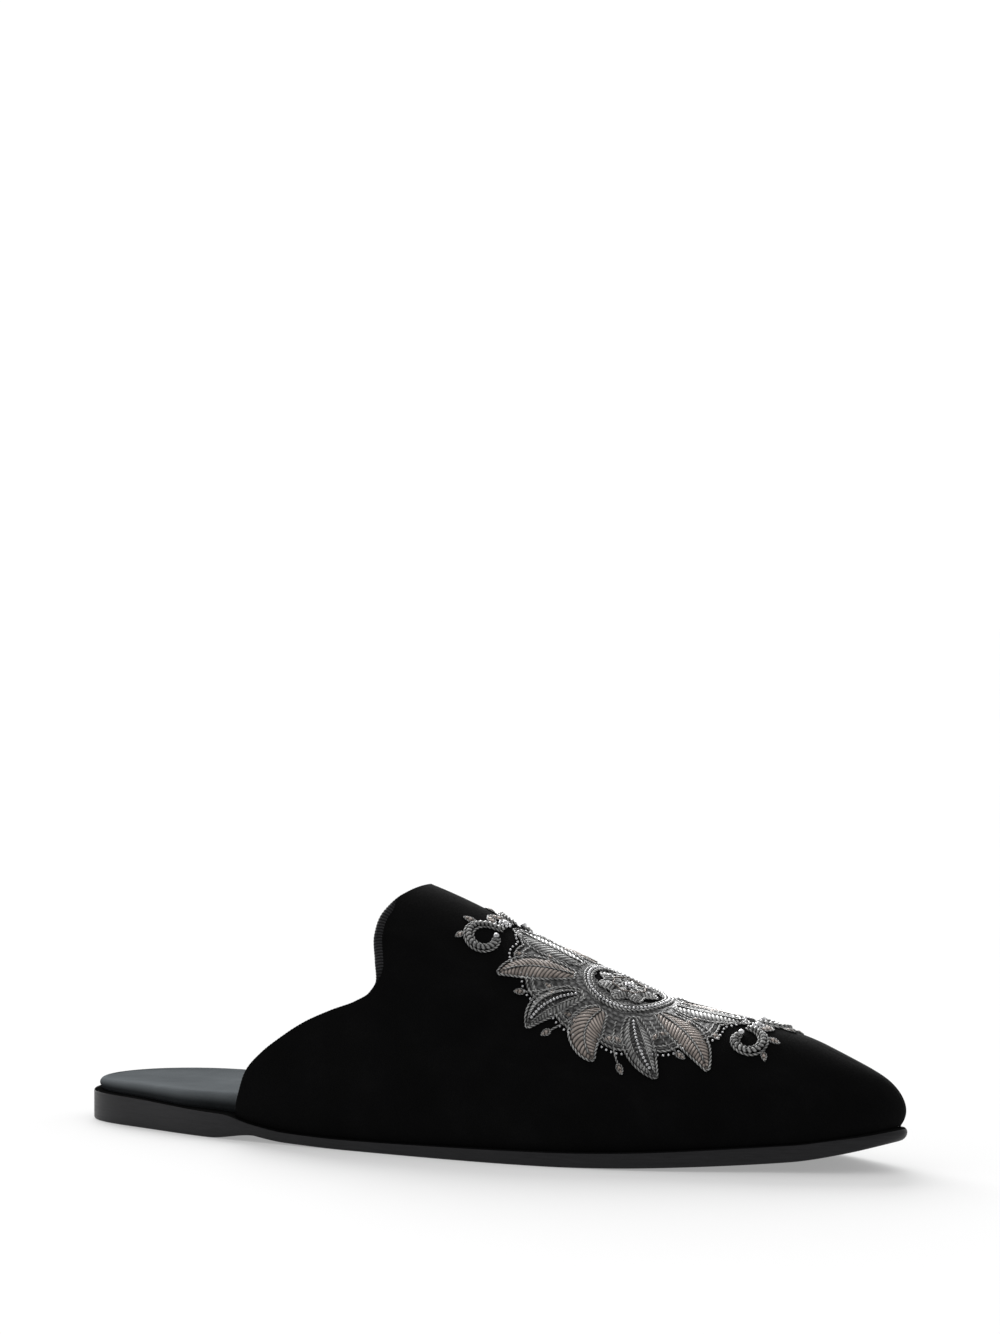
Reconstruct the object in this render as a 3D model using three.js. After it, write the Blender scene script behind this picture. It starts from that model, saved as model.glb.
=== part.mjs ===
import * as THREE from 'three';

// Right-foot babouche slipper: an open-backed upper with a tongue tab, on a thin sole with a low heel lift.
// Millimetres, +Z up, +X toward the toe, +Y toward the medial side, which is the shoe's left.
// Until the last lines, X is counted from the back of the heel, Y from the heel-to-toe axis, Z from the floor.

// Sole and heel lift
const SHOE_LENGTH = 300;
const HEEL_WIDTH = 60;
const WAIST_WIDTH = 68;
const BALL_WIDTH = 90;
const SOLE_THICKNESS = 4.7;
const SOLE_EDGE_ROUND = 0.7;
const HEEL_LIFT_HEIGHT = 4.6;
const HEEL_LIFT_LENGTH = 66;
const HEEL_BREAST_LENGTH = 20;
const HEEL_BREAST_HEIGHT = 1.5;
const TOE_SPRING = 10;

// Insole
const INSOLE_THICKNESS = 3.5;
const INSOLE_ROLL = 2.4;
const HEEL_SEAT_LEDGE = 2.0;

// Upper
const INSTEP_HEIGHT = 80;
const TOE_BOX_HEIGHT = 31;
const UPPER_WALL = 2.2;
const SOLE_LEDGE = 2.2;
const SIDE_BULGE_DEPTH = 2.6;
const SIDE_BULGE_HEIGHT = 16;

// Binding along the topline
const BINDING_HEIGHT = 2.4;
const BINDING_OVERHANG = 0.5;
const BINDING_START = 0.012;

// Embroidered spray on the vamp
const SPRAY_LENGTH = 106;
const SPRAY_SHIFT = 4;
const SPRAY_RELIEF = 1.1;
const ROSETTE_RADIUS = 9;
const RING_RADIUS = 13.2;
const RING_WIDTH = 2.8;

// Gaps between curved pieces, and between the lift and the flat seat above it
const CLEARANCE = 0.3;
const HEEL_SEAM = 0.02;

// Each reach is a share of the width in its row, from the heel-to-toe axis to the edge of the outsole.
const OUTLINE = rows(['along', 'width', 'lateral', 'medial'], [
  [0.020, HEEL_WIDTH, 0.275, 0.275],
  [0.060, HEEL_WIDTH, 0.408, 0.417],
  [0.120, HEEL_WIDTH, 0.505, 0.492],
  [0.220, WAIST_WIDTH, 0.571, 0.419],
  [0.380, WAIST_WIDTH, 0.644, 0.360],
  [0.520, BALL_WIDTH, 0.520, 0.344],
  [0.640, BALL_WIDTH, 0.518, 0.457],
  [0.720, BALL_WIDTH, 0.476, 0.500],
  [0.800, BALL_WIDTH, 0.392, 0.444],
  [0.880, BALL_WIDTH, 0.264, 0.317],
  [0.950, BALL_WIDTH, 0.164, 0.178],
  [0.985, BALL_WIDTH, 0.081, 0.089],
]);

// Height of the sole's underside above the floor, as a share of the size in its row.
const BREAST = HEEL_LIFT_LENGTH / SHOE_LENGTH;
const UNDERSIDE = rows(['along', 'size', 'share'], [
  [0.00, HEEL_LIFT_HEIGHT, 1.00],
  [BREAST + 0.02, HEEL_LIFT_HEIGHT, 1.00],
  [BREAST + 0.06, HEEL_LIFT_HEIGHT, 0.52],
  [BREAST + 0.11, HEEL_LIFT_HEIGHT, 0.13],
  [BREAST + 0.19, HEEL_LIFT_HEIGHT, 0.00],
  [0.66, HEEL_LIFT_HEIGHT, 0.00],
  [0.72, TOE_SPRING, 0.03],
  [0.80, TOE_SPRING, 0.13],
  [0.90, TOE_SPRING, 0.33],
  [0.95, TOE_SPRING, 0.60],
  [1.00, TOE_SPRING, 1.00],
]);

// Thickness of sole and insole as shares of their named thickness.
const LAYERS = rows(['along', 'sole', 'insole'], [
  [0.00, 1.15, 1.00],
  [0.10, 1.11, 1.20],
  [0.20, 0.86, 1.50],
  [0.30, 0.74, 1.80],
  [0.40, 0.73, 1.63],
  [0.52, 0.85, 1.05],
  [0.66, 1.00, 0.86],
  [0.78, 1.10, 0.75],
  [0.90, 1.17, 0.75],
  [1.00, 0.92, 0.75],
]);

// Height of the upper's ridge above its lower edge, as a share of the size in its row.
const RIDGE = rows(['along', 'size', 'share'], [
  [0.30, INSTEP_HEIGHT, 1.081],
  [0.42, INSTEP_HEIGHT, 0.998],
  [0.50, INSTEP_HEIGHT, 0.886],
  [0.58, INSTEP_HEIGHT, 0.759],
  [0.66, INSTEP_HEIGHT, 0.639],
  [0.74, INSTEP_HEIGHT, 0.529],
  [0.82, TOE_BOX_HEIGHT, 1.194],
  [0.89, TOE_BOX_HEIGHT, 0.997],
  [0.945, TOE_BOX_HEIGHT, 0.728],
  [0.98, TOE_BOX_HEIGHT, 0.490],
]);

// Section of the upper: the ridge's place beside the axis as a share of the ball width, and how lean the flanks
// are, where 1 is an ellipse and more is a steeper roof.
const SECTION = rows(['along', 'ridge', 'lean'], [
  [0.25, 0.022, 0.92],
  [0.40, 0.022, 1.00],
  [0.50, 0.014, 1.20],
  [0.60, 0.009, 1.33],
  [0.70, 0.004, 1.30],
  [0.85, 0.002, 1.05],
  [1.00, 0.000, 0.95],
]);

// Topline: where the bound edge lies along the shoe, from the sole's edge (0) up to the ridge (1).
const TOPLINE = rows(['around', 'along'], [
  [0.00, 0.256],
  [0.05, 0.266],
  [0.10, 0.275],
  [0.15, 0.293],
  [0.20, 0.316],
  [0.25, 0.342],
  [0.30, 0.372],
  [0.35, 0.401],
  [0.40, 0.419],
  [0.45, 0.425],
  [0.52, 0.417],
  [0.60, 0.407],
  [0.66, 0.405],
  [0.74, 0.409],
  [0.85, 0.418],
  [0.92, 0.422],
  [0.97, 0.4237],
  [1.00, 0.424],
]);

// Leaves, buds and tendrils of the spray. Each starts at a bearing from the rosette's centre and a gap beyond
// its ring. Gaps, lengths and widths are shares of SPRAY_LENGTH. Bearings and headings are degrees from the toe
// direction and open outward, and mirrored ones come in pairs.
const SPRAY = rows(['name', 'mirrored', 'bearing', 'gap', 'heading', 'bend', 'length', 'width', 'tip'], [
  ['instep_bud', false, 180, 0.022, 180, 0, 0.240, 0.110, 0],
  ['instep_leaf', true, 152, 0.027, 163, -42, 0.250, 0.092, 0],
  ['instep_frond', true, 122, 0.027, 138, -48, 0.230, 0.092, 0],
  ['instep_scroll', true, 175, 0.279, 170, -330, 0.290, 0.030, 0.6],
  ['drop', true, 93, 0.027, 112, -95, 0.200, 0.110, 0],
  ['toe_frond', true, 59, 0.027, 62, -30, 0.230, 0.095, 0],
  ['toe_leaf', true, 29, 0.027, 22, 40, 0.280, 0.095, 0],
  ['toe_scroll', true, 4, 0.273, 10, 330, 0.260, 0.030, 0.6],
  ['toe_bud', false, 0, 0.022, 0, 0, 0.245, 0.100, 0],
]);
const SPRAY_CENTRE = 0.685;

// The part of a half wave that a leaf's width follows, the share that a tendril narrows to, and how strongly
// the width rounds off and the centre line bends toward the tip.
const SWELL = [0.10, 0.98];
const TENDRIL_SHARE = 0.8;
const SWELL_POWER = 0.8;
const BEND_POWER = 1.3;

// Rosette and ring: how deep the petals are cut, and the shares of radius and relief where their section turns.
const ROSETTE_PETALS = 8;
const PETAL_SHARE = 0.12;
const PADDING_SHARES = { shoulder: 0.6, brim: 0.94, crown: 0.5 };

// Section of the outsole's edge by shares of its thickness: how much of the round it takes below and above.
const SOLE_EDGE = rows(['share', 'lower', 'upper'], [
  [0.0, 1, 0],
  [0.2, 0, 0],
  [0.8, 0, 0],
  [1.0, 0, 1],
]);

// Section of the lift's edge by shares of its height: how much of the round it takes.
const LIFT_EDGE = rows(['share', 'round'], [
  [0.00, 1],
  [0.15, 0],
  [1.00, 0],
]);

// Section of the insole's edge by shares of its thickness: how much of its roll draws it in.
const INSOLE_EDGE = rows(['share', 'roll'], [
  [0.00, 0.5],
  [0.25, 0.0],
  [0.60, 0.0],
  [0.88, 0.4],
  [1.00, 1.0],
]);

// Places along the shoe where the sole's lower round fades in and where the insole draws in under the upper.
const ROUND_FADE = [BREAST, BREAST + 0.1];
const SEAT_FADE = [0.16, 0.225];

// Facets
const OUTLINE_STEPS = 52;
const HEEL_STEPS = 20;
const SECTION_STEPS = 40;
const LENGTH_STEPS = 27;
const BINDING_SIDES = 8;
const LEAF_STEPS = 7;
const RING_STEPS = 36;

// Steps in turn or around for slopes and for walking over the vamp, and how near to the tip of the toe, in
// turn, the skin's normal is still taken.
const SLOPE_STEP = 1e-3;
const WALK_STEP = 0.02;
const TIP_STEP = 0.03;
const SAMPLE_STEPS = 400;
const TINY = 1e-9;

function rows(columns, values) {
  return values.map((row) => Object.fromEntries(columns.map((column, i) => [column, row[i]])));
}

function mix(a, b, share) {
  return a + (b - a) * share;
}

function fade(value, [from, to]) {
  return THREE.MathUtils.smoothstep(value, from, to);
}

// A smooth curve through points given by x and y, with no overshoot between them.
function steadyCurve(xs, ys) {
  const slopes = xs.slice(1).map((x, i) => (ys[i + 1] - ys[i]) / (x - xs[i]));
  const bends = xs.map((x, i) => {
    const before = slopes[Math.max(i - 1, 0)];
    const after = slopes[Math.min(i, slopes.length - 1)];
    return before * after > 0 ? (2 * before * after) / (before + after) : 0;
  });
  return (x) => {
    const i = THREE.MathUtils.clamp(xs.findIndex((knot) => knot >= x) - 1, 0, slopes.length - 1);
    const last = x > xs[xs.length - 1] ? slopes.length - 1 : i;
    const span = xs[last + 1] - xs[last];
    const t = THREE.MathUtils.clamp((x - xs[last]) / span, 0, 1);
    const ends = ys[last] * (1 + 2 * t) * (1 - t) ** 2 + ys[last + 1] * (3 - 2 * t) * t ** 2;
    return ends + span * (bends[last] * t * (1 - t) ** 2 + bends[last + 1] * (t - 1) * t ** 2);
  };
}

// A natural cubic spline through points given by x and y.
function naturalCurve(xs, ys) {
  const spans = xs.slice(1).map((x, i) => x - xs[i]);
  const slopes = spans.map((span, i) => (ys[i + 1] - ys[i]) / span);
  const weights = [0];
  const loads = [0];
  for (let i = 1; i < spans.length; i += 1) {
    const pivot = 2 * (spans[i - 1] + spans[i]) - spans[i - 1] * weights[i - 1];
    weights.push(spans[i] / pivot);
    loads.push((6 * (slopes[i] - slopes[i - 1]) - spans[i - 1] * loads[i - 1]) / pivot);
  }
  const bends = new Array(xs.length).fill(0);
  for (let i = spans.length - 1; i > 0; i -= 1) {
    bends[i] = loads[i] - weights[i] * bends[i + 1];
  }
  return (x) => {
    const found = xs.findIndex((knot) => knot > x) - 1;
    const i = found < 0 ? (x < xs[0] ? 0 : spans.length - 1) : found;
    const t = x - xs[i];
    const slope = slopes[i] - (spans[i] * (2 * bends[i] + bends[i + 1])) / 6;
    return ys[i] + t * (slope + t * (bends[i] / 2 + (t * (bends[i + 1] - bends[i])) / (6 * spans[i])));
  };
}

function columnCurve(table, x, y, curve = naturalCurve) {
  return curve(table.map((row) => row[x]), table.map(y));
}

// The turn goes from 0 at the back of the heel to PI at the tip of the toe, so that both ends come out round.
function turnAt(along) {
  return Math.acos(1 - 2 * along);
}

function alongAt(turn) {
  return (1 - Math.cos(turn)) / 2;
}

// A curve over the turn through a table's rows, closed to 0 at the toe and, where asked, at the heel.
function roundEnded(table, value, closedAtHeel) {
  const heel = closedAtHeel ? [[0, 0]] : [];
  const points = [...heel, ...table.map((row) => [turnAt(row.along), value(row)]), [Math.PI, 0]];
  return naturalCurve(points.map((point) => point[0]), points.map((point) => point[1]));
}

const lateralReach = roundEnded(OUTLINE, (row) => row.width * row.lateral, true);
const medialReach = roundEnded(OUTLINE, (row) => row.width * row.medial, true);
const ridgeHeight = roundEnded(RIDGE, (row) => row.size * row.share, false);
const underside = columnCurve(UNDERSIDE, 'along', (row) => row.size * row.share, steadyCurve);
const soleThickness = columnCurve(LAYERS, 'along', (row) => row.sole * SOLE_THICKNESS);
const insoleThickness = columnCurve(LAYERS, 'along', (row) => row.insole * INSOLE_THICKNESS);
const ridgeOffset = columnCurve(SECTION, 'along', (row) => row.ridge * BALL_WIDTH);
const flankLean = columnCurve(SECTION, 'along', (row) => row.lean);
const toplineAlong = columnCurve(TOPLINE, 'around', (row) => row.along, steadyCurve);

function soleTop(x) {
  const along = x / SHOE_LENGTH;
  return underside(along) + soleThickness(along);
}

// Triangles are collected here and turned into one closed geometry with its faces out.
class Facets {
  constructor() {
    this.corners = [];
  }

  triangle(a, b, c) {
    const flat = a.distanceTo(b) * b.distanceTo(c) * c.distanceTo(a) < TINY;
    if (!flat) {
      this.corners.push(a, b, c);
    }
  }

  quad(a, b, c, d) {
    this.triangle(a, b, c);
    this.triangle(a, c, d);
  }

  // Joins loops of equally many points, side by side.
  sleeve(loops) {
    for (let k = 1; k < loops.length; k += 1) {
      loops[k].forEach((point, i) => {
        const next = (i + 1) % loops[k].length;
        this.quad(loops[k - 1][i], loops[k - 1][next], loops[k][next], point);
      });
    }
  }

  // Closes a loop that goes up one side and down the other with rungs across it.
  ladder(loop, up) {
    const half = loop.length / 2;
    for (let i = 0; i < half; i += 1) {
      const j = (loop.length - i) % loop.length;
      const corners = [loop[i], loop[i + 1], loop[loop.length - i - 1], loop[j]];
      this.quad(...(up ? corners : corners.reverse()));
    }
  }

  fan(loop, centre, up) {
    loop.forEach((point, i) => {
      const next = loop[(i + 1) % loop.length];
      this.triangle(centre, up ? point : next, up ? next : point);
    });
  }

  geometry() {
    const volume = this.corners.reduce((sum, a, i) => {
      const turn = (b, c) => a.dot(new THREE.Vector3().crossVectors(b, c));
      return i % 3 ? sum : sum + turn(this.corners[i + 1], this.corners[i + 2]);
    }, 0);
    const corners = volume > 0 ? this.corners : [...this.corners].reverse();
    const geometry = new THREE.BufferGeometry().setFromPoints(corners);
    geometry.computeVertexNormals();
    return geometry;
  }
}

function steps(count, from, to) {
  return Array.from({ length: count + 1 }, (_, i) => mix(from, to, i / count));
}

// The outsole's outline as a loop, lateral side first, moved inward by an inset that may change along the shoe.
function outlineLoop(inset) {
  const edge = (turn, side) => {
    const reach = side < 0 ? lateralReach : medialReach;
    const run = (alongAt(turn + SLOPE_STEP) - alongAt(turn - SLOPE_STEP)) * SHOE_LENGTH;
    const rise = reach(turn + SLOPE_STEP) - reach(turn - SLOPE_STEP);
    const normal = new THREE.Vector2(-rise, side * run).normalize();
    const amount = inset(alongAt(turn));
    return new THREE.Vector2(
      alongAt(turn) * SHOE_LENGTH - normal.x * amount,
      side * reach(turn) - normal.y * amount,
    );
  };
  const turns = steps(OUTLINE_STEPS, 0, Math.PI);
  const lateral = turns.map((turn) => edge(turn, -1));
  const medial = turns.slice(1, -1).map((turn) => edge(turn, 1));
  return [...lateral, ...medial.reverse()];
}

// A layer of the sole: loops at shares of its height, each with its own inset.
function layerSolid(bottom, top, levels) {
  const loops = levels.map(({ share, inset }) => outlineLoop(inset).map((point) => {
    return new THREE.Vector3(point.x, point.y, mix(bottom(point.x), top(point.x), share));
  }));
  const facets = new Facets();
  facets.sleeve(loops);
  facets.ladder(loops[0], false);
  facets.ladder(loops[loops.length - 1], true);
  return facets.geometry();
}

function outsole() {
  const pastLift = (along) => fade(along, ROUND_FADE);
  return layerSolid((x) => underside(x / SHOE_LENGTH), soleTop, SOLE_EDGE.map((row) => ({
    share: row.share,
    inset: (along) => SOLE_EDGE_ROUND * (row.upper + row.lower * pastLift(along)),
  })));
}

function insole() {
  const insideUpper = SOLE_LEDGE + UPPER_WALL + 2 * CLEARANCE;
  const bottom = (x) => soleTop(x) + CLEARANCE;
  const top = (x) => bottom(x) + insoleThickness(x / SHOE_LENGTH);
  return layerSolid(bottom, top, INSOLE_EDGE.map((row) => ({
    share: row.share,
    inset: (along) => mix(HEEL_SEAT_LEDGE, insideUpper, fade(along, SEAT_FADE)) + row.roll * INSOLE_ROLL,
  })));
}

// The lift fills the space under the heel seat, along the outsole's outline. Ahead of its flat foot, its breast
// rises as a long thin wedge.
function heelLift() {
  const turns = steps(HEEL_STEPS, 0, turnAt((HEEL_LIFT_LENGTH + HEEL_BREAST_LENGTH) / SHOE_LENGTH));
  const rise = (x) => fade(x, [HEEL_LIFT_LENGTH, HEEL_LIFT_LENGTH + HEEL_BREAST_LENGTH]);
  const foot = (x) => HEEL_BREAST_HEIGHT * rise(x);
  const seat = (x) => underside(x / SHOE_LENGTH) - mix(HEEL_SEAM, CLEARANCE, rise(x));
  const loops = LIFT_EDGE.map((row) => {
    const inset = row.round * SOLE_EDGE_ROUND;
    const side = (reach, sign) => turns.map((turn) => {
      const x = alongAt(turn) * SHOE_LENGTH + inset * Math.cos(turn);
      const y = sign * (reach(turn) - inset * Math.sin(turn));
      return new THREE.Vector3(x, y, mix(foot(x), seat(x), row.share));
    });
    return [...side(lateralReach, -1), ...side(medialReach, 1).slice(1).reverse()];
  });
  const facets = new Facets();
  facets.sleeve(loops);
  facets.ladder(loops[0], false);
  facets.ladder(loops[loops.length - 1], true);
  return facets.geometry();
}

// The upper's outer surface. Around goes from 0 at the lateral edge over the ridge at 1 to 2 at the medial one.
const UPPER_LENGTH = SHOE_LENGTH - SOLE_LEDGE;
const UPPER_NARROWING = 1 - (2 * SOLE_LEDGE) / BALL_WIDTH;

function skin(turn, around) {
  const along = alongAt(turn);
  const side = around <= 1 ? -1 : 1;
  const reach = side < 0 ? lateralReach : medialReach;
  const angle = (Math.PI / 2) * Math.min(around, 2 - around);
  const ridge = ridgeOffset(along) * Math.sin(turn) ** 2;
  const edge = UPPER_NARROWING * reach(turn);
  const height = Math.max(ridgeHeight(turn), 0) * Math.sin(angle) ** flankLean(along);
  const run = UPPER_LENGTH * (alongAt(turn + SLOPE_STEP) - alongAt(turn - SLOPE_STEP));
  const rise = reach(turn + SLOPE_STEP) - reach(turn - SLOPE_STEP);
  const outward = new THREE.Vector2(-rise, side * run).normalize();
  const level = height / SIDE_BULGE_HEIGHT;
  const bulge = SIDE_BULGE_DEPTH * level * Math.exp(1 - level);
  const x = along * UPPER_LENGTH;
  return new THREE.Vector3(
    x + outward.x * bulge,
    ridge + (side * edge - ridge) * Math.cos(angle) + outward.y * bulge * Math.cos(angle),
    soleTop(x) + CLEARANCE + height,
  );
}

function skinNormal(turn, around) {
  const nudge = 2 * SLOPE_STEP;
  const t = Math.min(turn, Math.PI - TIP_STEP);
  const a = THREE.MathUtils.clamp(around, 2 * nudge, 2 - 2 * nudge);
  const forward = skin(t + nudge, a).sub(skin(t - nudge, a));
  const across = skin(t, a + nudge).sub(skin(t, a - nudge));
  return forward.cross(across).normalize();
}

function onSkin(turn, around, lift) {
  return skin(turn, around).addScaledVector(skinNormal(turn, around), lift);
}

// The upper's own edge stops short of the topline by the binding that lies on it.
function toplineTurn(around) {
  const setback = BINDING_HEIGHT + CLEARANCE;
  return turnAt(toplineAlong(Math.min(around, 2 - around)) + setback / UPPER_LENGTH);
}

function toplineMiddle(around) {
  return onSkin(toplineTurn(around), around, -UPPER_WALL / 2);
}

// Rows of the upper, spread half by their place around it and half by their distance along the topline.
function spreadArounds(from, to) {
  const samples = steps(SAMPLE_STEPS, from, to);
  const distances = [0];
  samples.slice(1).forEach((around, i) => {
    distances.push(distances[i] + toplineMiddle(around).distanceTo(toplineMiddle(samples[i])));
  });
  const total = distances[distances.length - 1];
  const progress = samples.map((around, i) => (around - from) / (to - from) / 2 + distances[i] / total / 2);
  return steps(SECTION_STEPS, 0, 1).map((share) => {
    const i = Math.max(progress.findIndex((value) => value >= share - TINY), 1);
    const part = (share - progress[i - 1]) / (progress[i] - progress[i - 1]);
    return mix(samples[i - 1], samples[i], THREE.MathUtils.clamp(part, 0, 1));
  });
}

function upper() {
  const arounds = spreadArounds(0, 2);
  const sheet = (lift) => arounds.map((around) => {
    const start = toplineTurn(around);
    const row = steps(LENGTH_STEPS, start, Math.PI).map((turn) => onSkin(turn, around, lift));
    row[LENGTH_STEPS] = onSkin(Math.PI, 1, lift);
    return row;
  });
  const outer = sheet(0);
  const inner = sheet(-UPPER_WALL);
  const facets = new Facets();
  for (let i = 0; i < arounds.length - 1; i += 1) {
    for (let j = 0; j < LENGTH_STEPS; j += 1) {
      facets.quad(outer[i][j], outer[i][j + 1], outer[i + 1][j + 1], outer[i + 1][j]);
      facets.quad(inner[i][j], inner[i + 1][j], inner[i + 1][j + 1], inner[i][j + 1]);
    }
    facets.quad(outer[i][0], outer[i + 1][0], inner[i + 1][0], inner[i][0]);
  }
  const last = arounds.length - 1;
  for (let j = 0; j < LENGTH_STEPS; j += 1) {
    facets.quad(outer[0][j], inner[0][j], inner[0][j + 1], outer[0][j + 1]);
    facets.quad(outer[last][j], outer[last][j + 1], inner[last][j + 1], inner[last][j]);
  }
  return facets.geometry();
}

// A bead of oval section that lies on the upper's topline edge.
function toplineBinding() {
  const nudge = 4 * SLOPE_STEP;
  const arounds = spreadArounds(0, 2);
  arounds[0] = BINDING_START;
  arounds[SECTION_STEPS] = 2 - BINDING_START;
  const loops = arounds.map((around) => {
    const tangent = toplineMiddle(around + nudge).sub(toplineMiddle(around - nudge)).normalize();
    const normal = skinNormal(toplineTurn(around), around);
    const away = new THREE.Vector3().crossVectors(normal, tangent).normalize();
    const centre = toplineMiddle(around).addScaledVector(away, CLEARANCE + BINDING_HEIGHT / 2);
    return steps(BINDING_SIDES, 0, 2 * Math.PI).slice(0, BINDING_SIDES).map((angle) => centre.clone()
      .addScaledVector(normal, (UPPER_WALL / 2 + BINDING_OVERHANG) * Math.cos(angle))
      .addScaledVector(away, (BINDING_HEIGHT / 2) * Math.sin(angle)));
  });
  const facets = new Facets();
  facets.sleeve(loops);
  facets.ladder(loops[0], false);
  facets.ladder(loops[SECTION_STEPS], true);
  return facets.geometry();
}

// A point above the vamp, in millimetres forward and across along the surface from the spray's centre.
function onVamp(forward, across, lift) {
  const turn = turnAt(SPRAY_CENTRE + forward / UPPER_LENGTH);
  const goal = across - SPRAY_SHIFT;
  let around = 1;
  let walked = 0;
  let here = skin(turn, around);
  while (walked < Math.abs(goal)) {
    const stride = WALK_STEP * Math.sign(goal);
    const next = skin(turn, around + stride);
    const length = next.distanceTo(here);
    around += stride * Math.min((Math.abs(goal) - walked) / length, 1);
    walked += length;
    here = next;
  }
  return onSkin(turn, around, lift);
}

// The centre line of a leaf or tendril bends more toward its tip, and its width swells and closes.
function leafLoops({ bearing, gap, heading, bend, length, width, tip }, side) {
  const loops = [];
  const from = RING_RADIUS + RING_WIDTH / 2 + gap * SPRAY_LENGTH;
  let x = from * Math.cos(THREE.MathUtils.degToRad(bearing));
  let y = from * Math.sin(THREE.MathUtils.degToRad(bearing));
  const stride = (length * SPRAY_LENGTH) / LEAF_STEPS;
  for (let i = 0; i <= LEAF_STEPS; i += 1) {
    const share = i / LEAF_STEPS;
    const angle = THREE.MathUtils.degToRad(heading + bend * share ** BEND_POWER);
    const swell = Math.sin(Math.PI * mix(...SWELL, share)) ** SWELL_POWER;
    const half = (width * SPRAY_LENGTH * mix(swell, mix(TENDRIL_SHARE, 1, share), tip)) / 2;
    const point = (across, lift) => onVamp(
      x - Math.sin(angle) * across * half,
      side * (y + Math.cos(angle) * across * half),
      CLEARANCE + lift * SPRAY_RELIEF,
    );
    loops.push([
      ...[-1, -0.5, 0, 0.5, 1].map((across) => point(across, 0)),
      point(1, 0.5), point(0.5, 1), point(-0.5, 1), point(-1, 0.5),
    ]);
    x += Math.cos(angle) * stride;
    y += Math.sin(angle) * stride;
  }
  return loops;
}

function leaf(row, side) {
  const loops = leafLoops(row, side);
  const facets = new Facets();
  facets.sleeve(loops);
  [loops[0], loops[LEAF_STEPS]].forEach((loop, end) => {
    const middle = loop[2].clone().add(loop[6]).add(loop[7]).divideScalar(3);
    facets.fan(loop, middle, end === 1);
  });
  return facets.geometry();
}

// A ring of points about the rosette's centre whose radius may change with the angle.
function roundLoop(count, radius, lift) {
  return steps(count, 0, 2 * Math.PI).slice(0, count).map((angle) => {
    const r = radius(angle);
    return onVamp(r * Math.cos(angle), r * Math.sin(angle), lift);
  });
}

function rosette() {
  const count = 4 * ROSETTE_PETALS;
  const petals = (share) => (angle) => {
    return share * ROSETTE_RADIUS * (1 + PETAL_SHARE * Math.cos(ROSETTE_PETALS * angle));
  };
  const loops = [
    roundLoop(count, petals(PADDING_SHARES.crown), CLEARANCE),
    roundLoop(count, petals(1), CLEARANCE),
    roundLoop(count, petals(PADDING_SHARES.brim), CLEARANCE + PADDING_SHARES.shoulder * SPRAY_RELIEF),
    roundLoop(count, petals(PADDING_SHARES.crown), CLEARANCE + SPRAY_RELIEF),
  ];
  const facets = new Facets();
  facets.sleeve(loops);
  facets.fan(loops[0], onVamp(0, 0, CLEARANCE), false);
  facets.fan(loops[3], onVamp(0, 0, CLEARANCE + SPRAY_RELIEF), true);
  return facets.geometry();
}

function rosetteRing() {
  const inner = RING_RADIUS - RING_WIDTH / 2;
  const outer = RING_RADIUS + RING_WIDTH / 2;
  const shoulder = CLEARANCE + PADDING_SHARES.shoulder * SPRAY_RELIEF;
  const loops = [
    roundLoop(RING_STEPS, () => inner, CLEARANCE),
    roundLoop(RING_STEPS, () => outer, CLEARANCE),
    roundLoop(RING_STEPS, () => outer, shoulder),
    roundLoop(RING_STEPS, () => RING_RADIUS, CLEARANCE + SPRAY_RELIEF),
    roundLoop(RING_STEPS, () => inner, shoulder),
  ];
  const facets = new Facets();
  facets.sleeve([...loops, loops[0]]);
  return facets.geometry();
}

const finishes = {
  sole: new THREE.MeshStandardMaterial({ color: 0x1c1c1d, roughness: 0.45, metalness: 0 }),
  insole: new THREE.MeshStandardMaterial({ color: 0x3d4445, roughness: 0.55, metalness: 0 }),
  velvet: new THREE.MeshStandardMaterial({ color: 0x08080a, roughness: 0.95, metalness: 0 }),
  binding: new THREE.MeshStandardMaterial({ color: 0x2b2b2d, roughness: 0.8, metalness: 0 }),
  thread: new THREE.MeshStandardMaterial({ color: 0x8f8a86, roughness: 0.4, metalness: 0.6 }),
};

const slipper = new THREE.Group();

function add(name, geometry, material) {
  const mesh = new THREE.Mesh(geometry, material);
  mesh.name = name;
  slipper.add(mesh);
}

add('outsole', outsole(), finishes.sole);
add('heel_lift', heelLift(), finishes.sole);
add('insole', insole(), finishes.insole);
add('upper', upper(), finishes.velvet);
add('topline_binding', toplineBinding(), finishes.binding);
add('embroidery_rosette', rosette(), finishes.thread);
add('embroidery_ring', rosetteRing(), finishes.thread);
SPRAY.forEach((row) => {
  if (row.mirrored) {
    add(`embroidery_${row.name}_lateral`, leaf(row, -1), finishes.thread);
    add(`embroidery_${row.name}_medial`, leaf(row, 1), finishes.thread);
  } else {
    add(`embroidery_${row.name}`, leaf(row, 1), finishes.thread);
  }
});

// The origin is the middle of the slipper's box at floor level.
const box = new THREE.Box3().setFromObject(slipper);
slipper.position.set(-(box.min.x + box.max.x) / 2, -(box.min.y + box.max.y) / 2, -box.min.z);

export default slipper;
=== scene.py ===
import math

import bpy
import numpy as np
from mathutils import Matrix, Vector


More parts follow.
